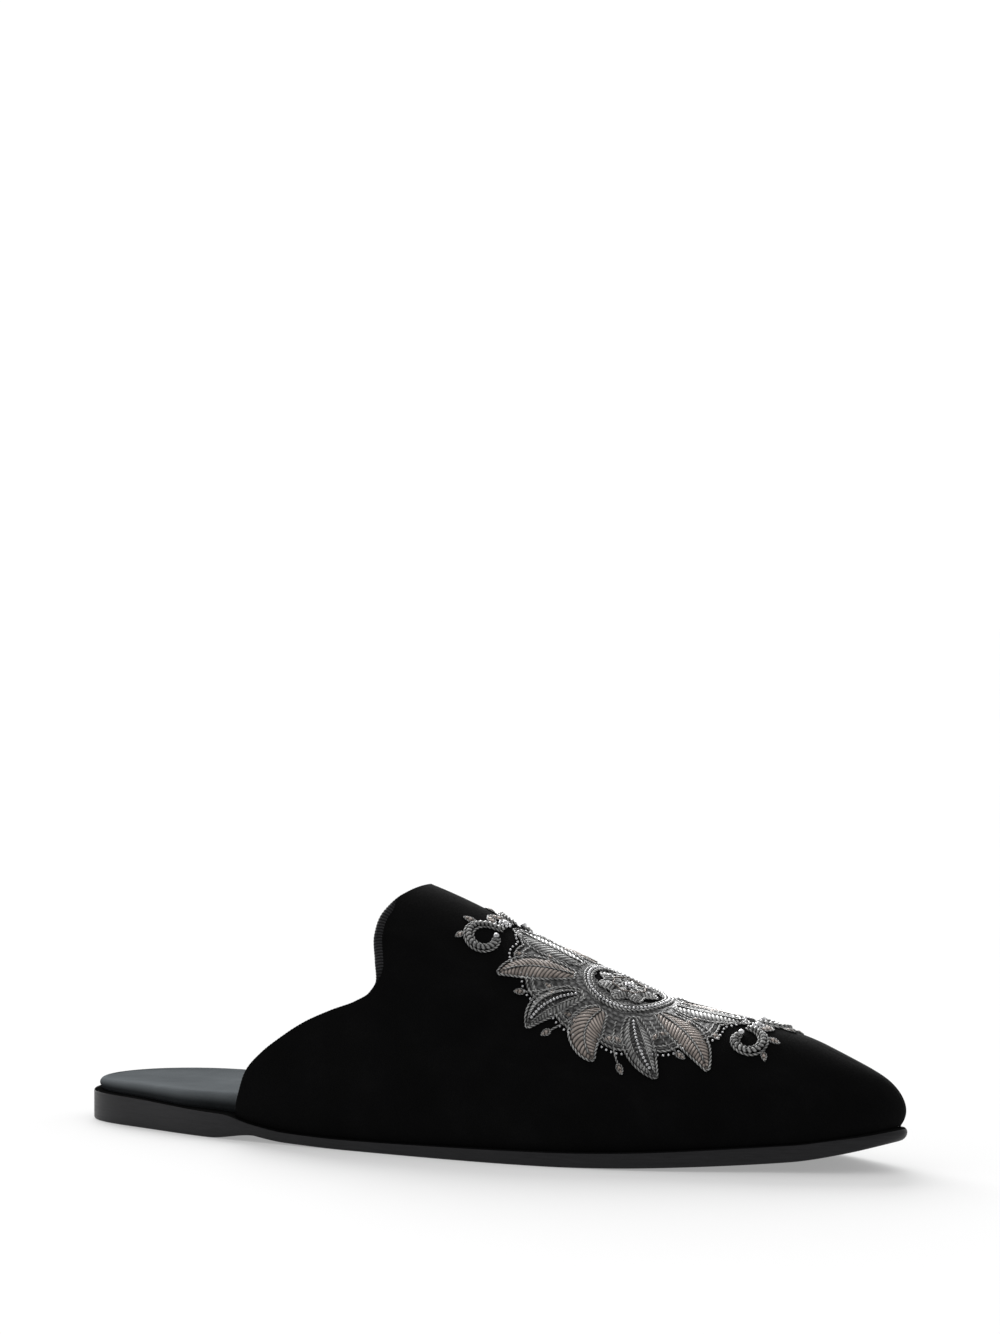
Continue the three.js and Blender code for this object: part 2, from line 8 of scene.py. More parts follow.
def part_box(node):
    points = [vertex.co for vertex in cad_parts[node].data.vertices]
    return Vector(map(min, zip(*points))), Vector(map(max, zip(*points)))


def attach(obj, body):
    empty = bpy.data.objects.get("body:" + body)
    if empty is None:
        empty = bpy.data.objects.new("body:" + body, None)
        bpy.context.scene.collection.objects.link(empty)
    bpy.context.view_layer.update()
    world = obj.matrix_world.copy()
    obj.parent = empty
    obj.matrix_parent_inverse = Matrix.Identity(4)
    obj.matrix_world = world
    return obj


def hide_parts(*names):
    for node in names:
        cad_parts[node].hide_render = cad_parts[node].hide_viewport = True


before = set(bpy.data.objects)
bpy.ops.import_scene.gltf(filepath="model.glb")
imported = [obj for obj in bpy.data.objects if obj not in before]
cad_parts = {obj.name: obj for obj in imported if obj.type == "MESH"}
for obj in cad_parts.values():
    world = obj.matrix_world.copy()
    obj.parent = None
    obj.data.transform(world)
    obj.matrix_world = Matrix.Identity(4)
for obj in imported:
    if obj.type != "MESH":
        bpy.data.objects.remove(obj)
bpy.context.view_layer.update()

# Looks of a right-foot babouche slipper: velvet upper, bound topline, leather insole, painted sole edge and
# embroidery. Sizes are millimetres in the part's own frame: X from the back of the heel, Y from the axis
# toward the medial side, Z from the floor. Mesh code moves them into the row frame in metres.
MM = 0.001

# Sole, heel lift and insole
SHOE_LENGTH = 300
HEEL_WIDTH = 60
WAIST_WIDTH = 68
BALL_WIDTH = 90
SOLE_THICKNESS = 4.7
HEEL_LIFT_HEIGHT = 4.6
HEEL_LIFT_LENGTH = 66
HEEL_BREAST_LENGTH = 20
HEEL_BREAST_HEIGHT = 2.1
HEEL_SEAM = 0.02
TOE_SPRING = 10
INSOLE_THICKNESS = 3.5
INSOLE_ROLL = 2.4
INSOLE_DISH = 0.45
INSOLE_LIFT = 0.05
INSOLE_NARROWING = (0.16, 0.225)
INSOLE_FOOT = [(0.0, 0.9), (0.08, 0.75), (0.16, 0.35)]
INSOLE_SHOULDER = 0.52
HEEL_SEAT_LEDGE = 2.0
SOLE_EDGE_ROUND = 0.7
EDGE_ROUND_SHARE = 0.15
EDGE_ROUND_STEPS = 6
# Top levels of the sole edge that take the painted shade finish
SHADED_LEDGE_LEVELS = 3
TOE_EDGE = (0.93, 1.0)
TOE_EDGE_ROUND = 2.3
TOE_EDGE_FALL = 2.3
SOLE_LEDGE = 2.2
CLEARANCE = 0.3

# Upper and its binding
INSTEP_HEIGHT = 80
TOE_BOX_HEIGHT = 31
UPPER_WALL = 2.2
VELVET_SHARE = 0.6
LINING_FROM = 0.65
VELVET_WAVE = 0.12
SIDE_BULGE_DEPTH = 2.6
SIDE_BULGE_HEIGHT = 16
TOE_BULGE = (0.90, 1.0)
TOE_BULGE_FALL = 6
TOE_BULGE_DEPTH = 0.2
BINDING_HEIGHT = 2.4
BINDING_OVERHANG = 0.5
BINDING_START = 0.012
RIBBON_ROLL = 0.6
RIBBON_HEIGHT = 3.4
RIBBON_START = (0.43, 0.51)
RIBBON_END = (0.70, 0.80)
VELVET_TUCK = 0.25
RIB_PITCH = 1.1
RIB_DEPTH = 0.14

# Embroidery
SPRAY_LENGTH = 106
SPRAY_SHIFT = 4
SPRAY_CENTRE = 0.685
SPRAY_RELIEF = 1.1
ROSETTE_RADIUS = 9
ROSETTE_PETALS = 8
RING_RADIUS = 13.2
RING_WIDTH = 2.8
CORD_RADIUS = 0.36
CORD_PITCH = 1.5
CORD_DEPTH = 0.22
STITCH_PITCH = 1.45
STITCH_DEPTH = 0.26
STITCH_SLANT = 0.7
STITCH_TONES = (0.15, 0.95)
BEAD_RADIUS = 0.55
GROUND_REACH = 29
GROUND_STRETCH = 1.30
GROUND_SCALLOPS = 14
SCALE_ROW = 1.9
SCALES_ROUND = 64

# Fineness of the meshes, in steps
VELVET_GRID = (170, 150)
LINING_GRID = (90, 80)
RIBBON_SIDES = 18
RIB_STEPS = 6
OUTLINE_STEPS = 360
HEEL_GRID = (140, 40)
CORD_SIDES = 9
CORD_STEPS = 6
BEAD_GRID = (7, 10)

BREAST = HEEL_LIFT_LENGTH / SHOE_LENGTH
UNDER_ROUND_START = (BREAST + 0.06, BREAST + 0.14)
UPPER_LENGTH = SHOE_LENGTH - SOLE_LEDGE
UPPER_NARROWING = 1 - 2 * SOLE_LEDGE / BALL_WIDTH


def rows(columns, values):
    return [dict(zip(columns, value)) for value in values]


OUTLINE = rows(("along", "width", "lateral", "medial"), [
    (0.020, HEEL_WIDTH, 0.275, 0.275),
    (0.060, HEEL_WIDTH, 0.408, 0.417),
    (0.120, HEEL_WIDTH, 0.505, 0.492),
    (0.220, WAIST_WIDTH, 0.571, 0.419),
    (0.380, WAIST_WIDTH, 0.644, 0.360),
    (0.520, BALL_WIDTH, 0.520, 0.344),
    (0.640, BALL_WIDTH, 0.518, 0.457),
    (0.720, BALL_WIDTH, 0.476, 0.500),
    (0.800, BALL_WIDTH, 0.392, 0.444),
    (0.880, BALL_WIDTH, 0.264, 0.317),
    (0.950, BALL_WIDTH, 0.164, 0.178),
    (0.985, BALL_WIDTH, 0.081, 0.089),
])

UNDERSIDE = rows(("along", "size", "share"), [
    (0.00, HEEL_LIFT_HEIGHT, 1.00),
    (BREAST + 0.02, HEEL_LIFT_HEIGHT, 1.00),
    (BREAST + 0.06, HEEL_LIFT_HEIGHT, 0.52),
    (BREAST + 0.11, HEEL_LIFT_HEIGHT, 0.13),
    (BREAST + 0.19, HEEL_LIFT_HEIGHT, 0.00),
    (0.66, HEEL_LIFT_HEIGHT, 0.00),
    (0.72, TOE_SPRING, 0.03),
    (0.80, TOE_SPRING, 0.13),
    (0.90, TOE_SPRING, 0.33),
    (0.95, TOE_SPRING, 0.60),
    (1.00, TOE_SPRING, 1.00),
])

LAYERS = rows(("along", "sole", "insole"), [
    (0.00, 1.15, 1.00),
    (0.10, 1.11, 1.20),
    (0.20, 0.86, 1.50),
    (0.30, 0.74, 1.80),
    (0.40, 0.73, 1.63),
    (0.52, 0.85, 1.05),
    (0.66, 1.00, 0.86),
    (0.78, 1.10, 0.75),
    (0.90, 1.17, 0.75),
    (1.00, 0.92, 0.75),
])

RIDGE = rows(("along", "size", "share"), [
    (0.30, INSTEP_HEIGHT, 1.081),
    (0.42, INSTEP_HEIGHT, 0.998),
    (0.50, INSTEP_HEIGHT, 0.886),
    (0.58, INSTEP_HEIGHT, 0.759),
    (0.66, INSTEP_HEIGHT, 0.639),
    (0.74, INSTEP_HEIGHT, 0.529),
    (0.82, TOE_BOX_HEIGHT, 1.194),
    (0.89, TOE_BOX_HEIGHT, 0.997),
    (0.945, TOE_BOX_HEIGHT, 0.728),
    (0.98, TOE_BOX_HEIGHT, 0.490),
])

SECTION = rows(("along", "ridge", "lean"), [
    (0.25, 0.022, 0.92),
    (0.40, 0.022, 1.00),
    (0.50, 0.014, 1.20),
    (0.60, 0.009, 1.33),
    (0.70, 0.004, 1.30),
    (0.85, 0.002, 1.05),
    (1.00, 0.000, 0.95),
])

TOPLINE = rows(("around", "along"), [
    (0.00, 0.256),
    (0.05, 0.266),
    (0.10, 0.275),
    (0.15, 0.293),
    (0.20, 0.316),
    (0.25, 0.342),
    (0.30, 0.372),
    (0.35, 0.401),
    (0.40, 0.419),
    (0.45, 0.425),
    (0.52, 0.417),
    (0.60, 0.407),
    (0.66, 0.405),
    (0.74, 0.409),
    (0.85, 0.418),
    (0.92, 0.422),
    (0.97, 0.4237),
    (1.00, 0.424),
])

# Leaves, buds and tendrils. Bearings and headings are degrees from the toe direction and open outward. Gaps,
# lengths and widths are shares of SPRAY_LENGTH.
SPRAY = rows(("name", "mirrored", "bearing", "gap", "heading", "bend", "length", "width", "tip", "look"), [
    ("instep_bud", False, 180, 0.022, 180, 0, 0.240, 0.110, 0, "satin"),
    ("instep_leaf", True, 152, 0.027, 163, -42, 0.250, 0.092, 0, "warm"),
    ("instep_frond", True, 122, 0.027, 138, -48, 0.230, 0.092, 0, "beaded"),
    ("instep_scroll", True, 175, 0.279, 170, -330, 0.290, 0.030, 0.6, "coil"),
    ("drop", True, 93, 0.027, 112, -95, 0.200, 0.110, 0, "warm"),
    ("toe_frond", True, 59, 0.027, 62, -30, 0.230, 0.095, 0, "beaded"),
    ("toe_leaf", True, 29, 0.027, 22, 40, 0.280, 0.095, 0, "warm"),
    ("toe_scroll", True, 4, 0.273, 10, 330, 0.260, 0.030, 0.6, "coil"),
    ("toe_bud", False, 0, 0.022, 0, 0, 0.245, 0.100, 0, "satin"),
])

# Sprigs between the leaves: a fine stem with a pair of buds and a third bud at its tip, sized in millimetres.
SPRIGS = rows(("bearing", "gap", "heading", "bend", "length", "bud"), [
    (165, 0.05, 168, -20, 0.14, 3.6),
    (136, 0.05, 132, 25, 0.15, 3.8),
    (107, 0.05, 112, 20, 0.15, 3.8),
    (76, 0.05, 78, -30, 0.15, 3.8),
    (44, 0.05, 42, -20, 0.15, 3.8),
    (14, 0.05, 16, 15, 0.16, 3.6),
])
LEAF_STEPS = 7
SWELL = (0.10, 0.98)
SWELL_POWER = 0.8
TENDRIL_SHARE = 0.8
BEND_POWER = 1.3
PETAL_SHARE = 0.12
CORE = 0.5
FLOWER_PLACE = 46
LEAFLETS = (0.12, 0.30, 0.48)
LEAFLET_LENGTH = 4.6

# Soft troughs of the velvet: their middle, heading in degrees, and size in millimetres.
TROUGHS = rows(("along", "around", "heading", "length", "width", "depth"), [
    (0.560, 0.42, 62, 34, 7.0, 0.55),
    (0.600, 0.36, 70, 26, 6.0, 0.45),
    (0.520, 0.30, 55, 30, 8.0, 0.40),
    (0.470, 0.55, 40, 24, 8.0, 0.35),
    (0.860, 0.50, 80, 16, 6.0, 0.25),
    (0.560, 1.58, -62, 34, 7.0, 0.55),
    (0.610, 1.64, -70, 26, 6.0, 0.45),
    (0.500, 1.45, -42, 26, 8.0, 0.35),
])


def curve_parts(xs, ys):
    xs = np.array(xs, float)
    ys = np.array(ys, float)
    spans = np.diff(xs)
    return xs, ys, spans, np.diff(ys) / spans


def natural_curve(xs, ys):
    """A natural cubic spline through points."""
    xs, ys, spans, slopes = curve_parts(xs, ys)
    matrix = np.eye(len(xs))
    loads = np.zeros(len(xs))
    for i in range(1, len(xs) - 1):
        matrix[i, i - 1:i + 2] = spans[i - 1], 2 * (spans[i - 1] + spans[i]), spans[i]
        loads[i] = 6 * (slopes[i] - slopes[i - 1])
    bends = np.linalg.solve(matrix, loads)

    def curve(x):
        i = np.clip(np.searchsorted(xs, x, side="right") - 1, 0, len(spans) - 1)
        t = x - xs[i]
        slope = slopes[i] - spans[i] * (2 * bends[i] + bends[i + 1]) / 6
        return ys[i] + t * (slope + t * (bends[i] / 2 + t * (bends[i + 1] - bends[i]) / (6 * spans[i])))

    return curve


def steady_curve(xs, ys):
    """A smooth curve through points with no overshoot between them."""
    xs, ys, spans, slopes = curve_parts(xs, ys)
    before = np.append(slopes[:1], slopes)
    after = np.append(slopes, slopes[-1:])
    same = before * after > 0
    bends = np.where(same, 2 * before * after / np.where(same, before + after, 1), 0)

    def curve(x):
        x = np.clip(x, xs[0], xs[-1])
        i = np.clip(np.searchsorted(xs, x, side="right") - 1, 0, len(spans) - 1)
        t = (x - xs[i]) / spans[i]
        ends = ys[i] * (1 + 2 * t) * (1 - t) ** 2 + ys[i + 1] * (3 - 2 * t) * t ** 2
        return ends + spans[i] * (bends[i] * t * (1 - t) ** 2 + bends[i + 1] * (t - 1) * t ** 2)

    return curve


def table_curve(table, x, y, curve=natural_curve):
    return curve([row[x] for row in table], [y(row) for row in table])


def turn_at(along):
    """The turn goes from 0 at the back of the heel to pi at the tip of the toe."""
    return np.arccos(1 - 2 * along)


def along_at(turn):
    return (1 - np.cos(turn)) / 2


def round_ended(table, value, closed_at_heel):
    points = [(turn_at(row["along"]), value(row)) for row in table] + [(math.pi, 0)]
    if closed_at_heel:
        points = [(0, 0)] + points
    return natural_curve(*zip(*points))


def fade(value, start, end):
    t = np.clip((value - start) / (end - start), 0, 1)
    return t * t * (3 - 2 * t)


lateral_reach = round_ended(OUTLINE, lambda row: row["width"] * row["lateral"], True)
medial_reach = round_ended(OUTLINE, lambda row: row["width"] * row["medial"], True)
ridge_height = round_ended(RIDGE, lambda row: row["size"] * row["share"], False)
underside = table_curve(UNDERSIDE, "along", lambda row: row["size"] * row["share"], steady_curve)
sole_thickness = table_curve(LAYERS, "along", lambda row: row["sole"] * SOLE_THICKNESS)
insole_thickness = table_curve(LAYERS, "along", lambda row: row["insole"] * INSOLE_THICKNESS)
ridge_offset = table_curve(SECTION, "along", lambda row: row["ridge"] * BALL_WIDTH)
flank_lean = table_curve(SECTION, "along", lambda row: row["lean"])
topline_along = table_curve(TOPLINE, "around", lambda row: row["along"], steady_curve)


def sole_top(x):
    return underside(x / SHOE_LENGTH) + sole_thickness(x / SHOE_LENGTH)


# Where the part's frame lies in the row frame
fine_turns = np.linspace(0, math.pi, 400)
sole_low, sole_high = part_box("outsole")
axis_from_lateral = sole_low.y / MM + lateral_reach(fine_turns).max()
axis_from_medial = sole_high.y / MM - medial_reach(fine_turns).max()
ORIGIN = np.array([sole_low.x / MM, (axis_from_lateral + axis_from_medial) / 2, 0])


def skin(turn, around):
    """The upper's outer surface. Around goes from 0 at the lateral edge over the ridge at 1 to 2."""
    turn, around = np.broadcast_arrays(turn, around)
    nudge = 1e-3
    along = along_at(turn)
    lateral = around <= 1
    side = np.where(lateral, -1.0, 1.0)

    def reach(turn):
        return np.where(lateral, lateral_reach(turn), medial_reach(turn))

    angle = math.pi / 2 * np.minimum(around, 2 - around)
    ridge = ridge_offset(along) * np.sin(turn) ** 2
    edge = UPPER_NARROWING * reach(turn)
    height = np.maximum(ridge_height(turn), 0) * np.maximum(np.sin(angle), 0) ** flank_lean(along)
    run = side * UPPER_LENGTH * (along_at(turn + nudge) - along_at(turn - nudge))
    rise = reach(turn + nudge) - reach(turn - nudge)
    size = np.hypot(rise, run)
    toe = fade(along, *TOE_BULGE)
    level = height / (SIDE_BULGE_HEIGHT - TOE_BULGE_FALL * toe)
    bulge = (SIDE_BULGE_DEPTH + TOE_BULGE_DEPTH * toe) * level * np.exp(1 - level)
    x = along * UPPER_LENGTH
    return np.stack([
        x - rise / size * bulge,
        ridge + (side * edge - ridge) * np.cos(angle) + run / size * bulge * np.cos(angle),
        sole_top(x) + CLEARANCE + height,
    ], axis=-1)


def walked(points):
    """Distance from the first point to each point of a line."""
    return np.append(0, np.cumsum(np.linalg.norm(np.diff(points, axis=0), axis=1)))


def full_turn(count):
    return np.linspace(0, 2 * math.pi, count, endpoint=False)


def unit(vectors):
    return vectors / np.maximum(np.linalg.norm(vectors, axis=-1, keepdims=True), 1e-9)


def skin_normal(turn, around):
    nudge = 2e-3
    turn = np.minimum(turn, math.pi - 0.03)
    around = np.clip(around, 2 * nudge, 2 - 2 * nudge)
    forward = skin(turn + nudge, around) - skin(turn - nudge, around)
    across = skin(turn, around + nudge) - skin(turn, around - nudge)
    return unit(np.cross(forward, across))


def velvet_relief(turn, around):
    """How far the velvet stands off the plain surface: troughs with a ridge beside them, and a slow wave."""
    along = along_at(turn)
    relief = VELVET_WAVE * np.sin(along * 41 + around * 3.1) * np.sin(around * 9.7 + 1.3) * np.sin(turn) ** 2
    for row in TROUGHS:
        x = (along - row["along"]) * SHOE_LENGTH
        y = (around - row["around"]) * BALL_WIDTH
        heading = math.radians(row["heading"])
        run = (x * math.cos(heading) + y * math.sin(heading)) / row["length"]
        off = (y * math.cos(heading) - x * math.sin(heading)) / row["width"]
        relief = relief - row["depth"] * np.exp(-run ** 2 - off ** 2) * (1 - 0.9 * off ** 2)
    return relief * fade(np.sin(math.pi / 2 * np.minimum(around, 2 - around)), 0.05, 0.3)


def on_skin(turn, around, lift):
    lift = lift + velvet_relief(turn, around)
    return skin(turn, around) + skin_normal(turn, around) * lift[..., None]


def topline_turn(around):
    setback = BINDING_HEIGHT + CLEARANCE
    return turn_at(topline_along(np.minimum(around, 2 - around)) + setback / UPPER_LENGTH)


def ribbon_shown(around):
    level = np.minimum(around, 2 - around)
    return fade(level, *RIBBON_START) * (1 - fade(level, *RIBBON_END))


def ribbon_width(around):
    """Ribbon that shows outside: full height at the tab's side, a thin roll over the rest of the edge."""
    return RIBBON_ROLL + (RIBBON_HEIGHT - RIBBON_ROLL) * ribbon_shown(around)


def topline_frame(around):
    """Middle of the wall at the binding's foot, the outward normal and the way up to the edge."""
    nudge = 4e-3
    around = np.clip(around, BINDING_START, 2 - BINDING_START)
    middle, after, before = (
        on_skin(topline_turn(place), place, -UPPER_WALL / 2)
        for place in (around, around + nudge, around - nudge)
    )
    normal = skin_normal(topline_turn(around), around)
    return middle, normal, unit(np.cross(normal, unit(after - before)))


def velvet_turn(around):
    """Where the velvet ends: just under the ribbon's lower edge."""
    nudge = 4e-3
    turn = topline_turn(around)
    level = np.clip(around, BINDING_START, 2 - BINDING_START)
    step = skin(topline_turn(level) - nudge, level) - skin(topline_turn(level), level)
    reach = np.maximum((step * topline_frame(around)[2]).sum(axis=-1) / nudge, 20)
    return turn - (BINDING_HEIGHT - ribbon_width(around) + VELVET_TUCK) / reach


def in_scene(name, data):
    item = bpy.data.objects.new(name, data)
    bpy.context.scene.collection.objects.link(item)
    return item


class Shell:
    """Points, faces, finishes and painted-shade tone of one piece, in millimetres. Stitching is mirrored on
    side -1.
    """

    def __init__(self, side=1):
        self.side = side
        self.points = []
        self.faces = []
        self.finishes = []
        self.shade_tones = []
        self.count = 0

    def grid(self, points, loop_rows=False, loop_columns=False, flip=False, finish=0, tone=1.0):
        """Joins points in rows and columns with four-sided faces."""
        height, width = points.shape[:2]
        row = np.arange(height if loop_rows else height - 1)
        column = np.arange(width if loop_columns else width - 1)
        r, c = (part.ravel() for part in np.meshgrid(row, column, indexing="ij"))
        r2 = (r + 1) % height
        c2 = (c + 1) % width
        faces = np.stack([r * width + c, r * width + c2, r2 * width + c2, r2 * width + c], axis=1)
        self.points.append(points.reshape(-1, 3))
        self.faces.append((faces[:, ::-1] if flip else faces) + self.count)
        self.finishes.append(np.broadcast_to(finish, (len(row), len(column))).ravel())
        self.shade_tones.append(np.broadcast_to(tone, (height, width)).ravel())
        self.count += height * width

    def piece(self, name, materials, slot, replaced=()):
        points = (np.concatenate(self.points) + ORIGIN) * MM
        faces = np.concatenate(self.faces)
        mesh = bpy.data.meshes.new(name)
        mesh.from_pydata(points.tolist(), [], faces.tolist())
        mesh.polygons.foreach_set("material_index", np.concatenate(self.finishes))
        # The tone attribute holds painted shade, which the materials read.
        tone = mesh.attributes.new("tone", "FLOAT", "POINT")
        tone.data.foreach_set("value", np.concatenate(self.shade_tones))
        mesh.shade_smooth()
        mesh.update()
        piece = in_scene(name, mesh)
        for material in materials:
            mesh.materials.append(material)
        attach(piece, "root")
        if replaced:
            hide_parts(*replaced)
        return piece


class Nodes:
    """The node tree of a material or world under construction."""

    def __init__(self, owner, shader):
        owner.use_nodes = True
        self.tree = owner.node_tree
        self.shader = self.tree.nodes[shader]

    def node(self, kind, links=None, values=None, **settings):
        node = self.tree.nodes.new("ShaderNode" + kind)
        for key, value in settings.items():
            setattr(node, key, value)
        for key, value in (values or {}).items():
            node.inputs[key].default_value = value
        for key, output in (links or {}).items():
            self.tree.links.new(output, node.inputs[key])
        return node

    def set(self, socket, output):
        self.tree.links.new(output, self.shader.inputs[socket])

    def spread(self, factor, low, high, start=0.0, end=1.0):
        values = {"From Min": start, "From Max": end, "To Min": low, "To Max": high}
        return self.node("MapRange", {"Value": factor}, values).outputs["Result"]


class Finish(Nodes):
    """A procedural material, placed by the piece's own coordinates."""

    def __init__(self, name, **values):
        self.material = bpy.data.materials.new(name)
        super().__init__(self.material, "Principled BSDF")
        self.place = self.node("TexCoord").outputs["Object"]
        for key, value in values.items():
            self.shader.inputs[key.replace("_", " ")].default_value = value

    def noise(self, scale, detail=2.0, roughness=0.5, squeeze=None):
        vector = self.place
        if squeeze:
            vector = self.node("Mapping", {"Vector": vector}, {"Scale": squeeze}).outputs["Vector"]
        values = {"Scale": scale, "Detail": detail, "Roughness": roughness}
        return self.node("TexNoise", {"Vector": vector}, values).outputs["Fac"]

    def ramp(self, factor, stops):
        node = self.node("ValToRGB", {"Fac": factor})
        elements = node.color_ramp.elements
        while len(elements) < len(stops):
            elements.new(0.5)
        for element, (place, colour) in zip(elements, stops):
            element.position = place
            element.color = (*colour, 1)
        return node.outputs["Color"]

    def sum(self, first, second, share):
        node = self.node("Math", {0: second, 2: first}, {1: share}, operation="MULTIPLY_ADD")
        return node.outputs["Value"]

    def shade(self, colour, dark):
        """Paints shade: the colour sinks to dark where the piece's own relief, kept as its tone, is low."""
        tone = self.node("Attribute", attribute_name="tone").outputs["Fac"]
        links = {"Factor": tone, "B": colour}
        return self.node("Mix", links, {"A": (*dark, 1)}, data_type="RGBA").outputs["Result"]

    def done(self, colour, roughness, height, strength, distance):
        """Sets what varies over the surface, and gives the material."""
        values = {"Strength": strength, "Distance": distance}
        self.set("Base Color", colour)
        if roughness is not None:
            self.set("Roughness", roughness)
        self.set("Normal", self.node("Bump", {"Height": height}, values).outputs["Normal"])
        return self.material


def grey(level):
    return (level, level, level)


def velvet_finish(name, tone):
    """Short pile, brushed a little this way and that."""
    finish = Finish(name, Roughness=0.85, Specular_IOR_Level=0.02, Sheen_Weight=0.012, Sheen_Roughness=0.4)
    pile = finish.noise(2600, 3)
    brushed = finish.noise(55, 4, 0.6, squeeze=(1, 2.2, 1))
    mixed = finish.sum(brushed, pile, 0.35)
    dark = tuple(0.75 * part for part in tone)
    light = tuple(1.4 * part for part in tone)
    colour = finish.ramp(mixed, [(0.45, dark), (0.72, tone), (0.95, light)])
    roughness = finish.spread(brushed, 0.78, 0.95)
    return finish.done(colour, roughness, finish.sum(pile, brushed, 0.6), 0.5, 0.0003)


def ribbon_finish(name):
    """Ribbed silk, with painted shade between its ribs and where it rolls under."""
    finish = Finish(name, Roughness=0.7, Specular_IOR_Level=0.04, Sheen_Weight=0.02, Sheen_Roughness=0.5)
    fibre = finish.noise(3200, 3)
    cloud = finish.noise(90, 2)
    mixed = finish.sum(fibre, cloud, 0.5)
    colour = finish.ramp(mixed, [(0.45, (0.010, 0.010, 0.011)), (0.95, (0.052, 0.052, 0.055))])
    return finish.done(finish.shade(colour, grey(0.001)), finish.spread(fibre, 0.5, 0.75), fibre, 0.4, 0.0001)


def edge_finish(name):
    """Burnished and painted sole edge: satin, with faint lengthwise streaks and small nicks."""
    finish = Finish(name, Roughness=0.42, Specular_IOR_Level=0.14)
    streaks = finish.noise(130, 4, 0.6, squeeze=(1, 1, 16))
    grain = finish.noise(1500, 3)
    colour = finish.ramp(streaks, [(0.3, (0.015, 0.015, 0.016)), (0.75, (0.025, 0.025, 0.027))])
    roughness = finish.spread(finish.sum(streaks, grain, 0.3), 0.34, 0.58, 0.3, 1.0)
    return finish.done(colour, roughness, finish.sum(streaks, grain, 0.4), 0.25, 0.0002)


def shaded_ledge_finish(name):
    """Painted shade on the ledge in the gap between sole and insole: near black, fibrous and without any
    shine.
    """
    finish = Finish(name, Roughness=0.9, Specular_IOR_Level=0.0)
    fibre = finish.noise(1800, 4, 0.6)
    cloud = finish.noise(70, 3)
    mixed = finish.sum(fibre, cloud, 0.5)
    colour = finish.ramp(mixed, [(0.5, grey(0.003)), (1.0, grey(0.009))])
    return finish.done(colour, None, fibre, 0.4, 0.0002)


def insole_finish(name):
    """Leather with fine pores, and painted shade toward the foot of its rolled edge."""
    finish = Finish(name, Roughness=0.5, Specular_IOR_Level=0.0)
    values = {"Scale": 900, "Randomness": 0.9}
    cells = finish.node("TexVoronoi", {"Vector": finish.place}, values, feature="DISTANCE_TO_EDGE")
    pores = finish.noise(2200, 2)
    cloud = finish.noise(38, 3, 0.6)
    colour = finish.ramp(cloud, [(0.3, (0.098, 0.107, 0.114)), (0.7, (0.134, 0.146, 0.154))])
    roughness = finish.spread(finish.sum(cloud, pores, 0.4), 0.42, 0.62, 0.3, 1.1)
    height = finish.sum(finish.spread(cells.outputs["Distance"], 0, 1, 0, 0.16), pores, 0.35)
    return finish.done(finish.shade(colour, (0.010, 0.011, 0.012)), roughness, height, 0.35, 0.00015)


def lining_finish(name):
    finish = Finish(name, Roughness=0.6, Specular_IOR_Level=0.3)
    cloud = finish.noise(45, 3, 0.6)
    pores = finish.noise(1400, 3)
    colour = finish.ramp(cloud, [(0.3, (0.012, 0.013, 0.014)), (0.7, (0.022, 0.024, 0.025))])
    return finish.done(colour, finish.spread(pores, 0.5, 0.72), pores, 0.3, 0.00015)


def thread_finish(name, dark, middle, light, metallic, roughness):
    """Metal thread: tarnished here and there, with painted shade in the valleys between stitches."""
    finish = Finish(name, Metallic=metallic, Roughness=roughness)
    tarnish = finish.noise(260, 3, 0.6)
    filament = finish.noise(3400, 2)
    mixed = finish.sum(tarnish, filament, 0.5)
    colour = finish.ramp(mixed, [(0.55, middle), (0.95, light)])
    worn = finish.spread(filament, roughness - 0.08, roughness + 0.15, 0.3, 0.7)
    return finish.done(finish.shade(colour, dark), worn, filament, 0.5, 0.00008)


VELVET = velvet_finish("velvet", (0.0036, 0.0036, 0.0037))
RIBBON = ribbon_finish("grosgrain")
EDGE = edge_finish("sole_edge")
SHADED_LEDGE = shaded_ledge_finish("sole_ledge_shade")
INSOLE = insole_finish("insole_leather")
LINING = lining_finish("lining_leather")
# Each thread's dark colour is what its painted shade sinks to.
THREAD_LOOKS = rows(("name", "dark", "middle", "light", "metallic", "roughness"), [
    ("silver_thread", grey(0.006), grey(0.14), (0.55, 0.55, 0.54), 0.7, 0.36),
    ("taupe_satin", (0.008, 0.007, 0.006), (0.20, 0.17, 0.15), (0.52, 0.45, 0.41), 0.5, 0.38),
    ("silver_bead", grey(0.02), (0.35, 0.35, 0.36), (0.80, 0.80, 0.81), 0.9, 0.2),
    ("dark_silver_ground", grey(0.004), grey(0.05), grey(0.20), 0.6, 0.4),
])
THREADS = [thread_finish(**look) for look in THREAD_LOOKS]
SILVER, TAUPE, BEAD, GROUND = range(len(THREADS))


def spread_arounds(count):
    """Columns of the upper, spread half by place around it and half by distance along the topline."""
    samples = np.linspace(0, 2, 800)
    distances = walked(skin(topline_turn(samples), samples))
    progress = samples / 4 + distances / distances[-1] / 2
    return np.interp(np.linspace(0, 1, count), progress, samples)


def upper_sheet(arounds, steps, lift, foot, start):
    """Rows from a line at the topline to the toe. The lower edges come down by foot, onto the sole."""
    share = np.linspace(0, 1, steps)[:, None]
    turns = start + (math.pi - start) * share
    points = on_skin(turns, arounds[None, :], lift)
    level = np.minimum(arounds, 2 - arounds)
    points[..., 2] -= foot * (1 - fade(level, 0, 0.03))[None, :]
    points[-1] = points[-1].mean(axis=0)
    return points


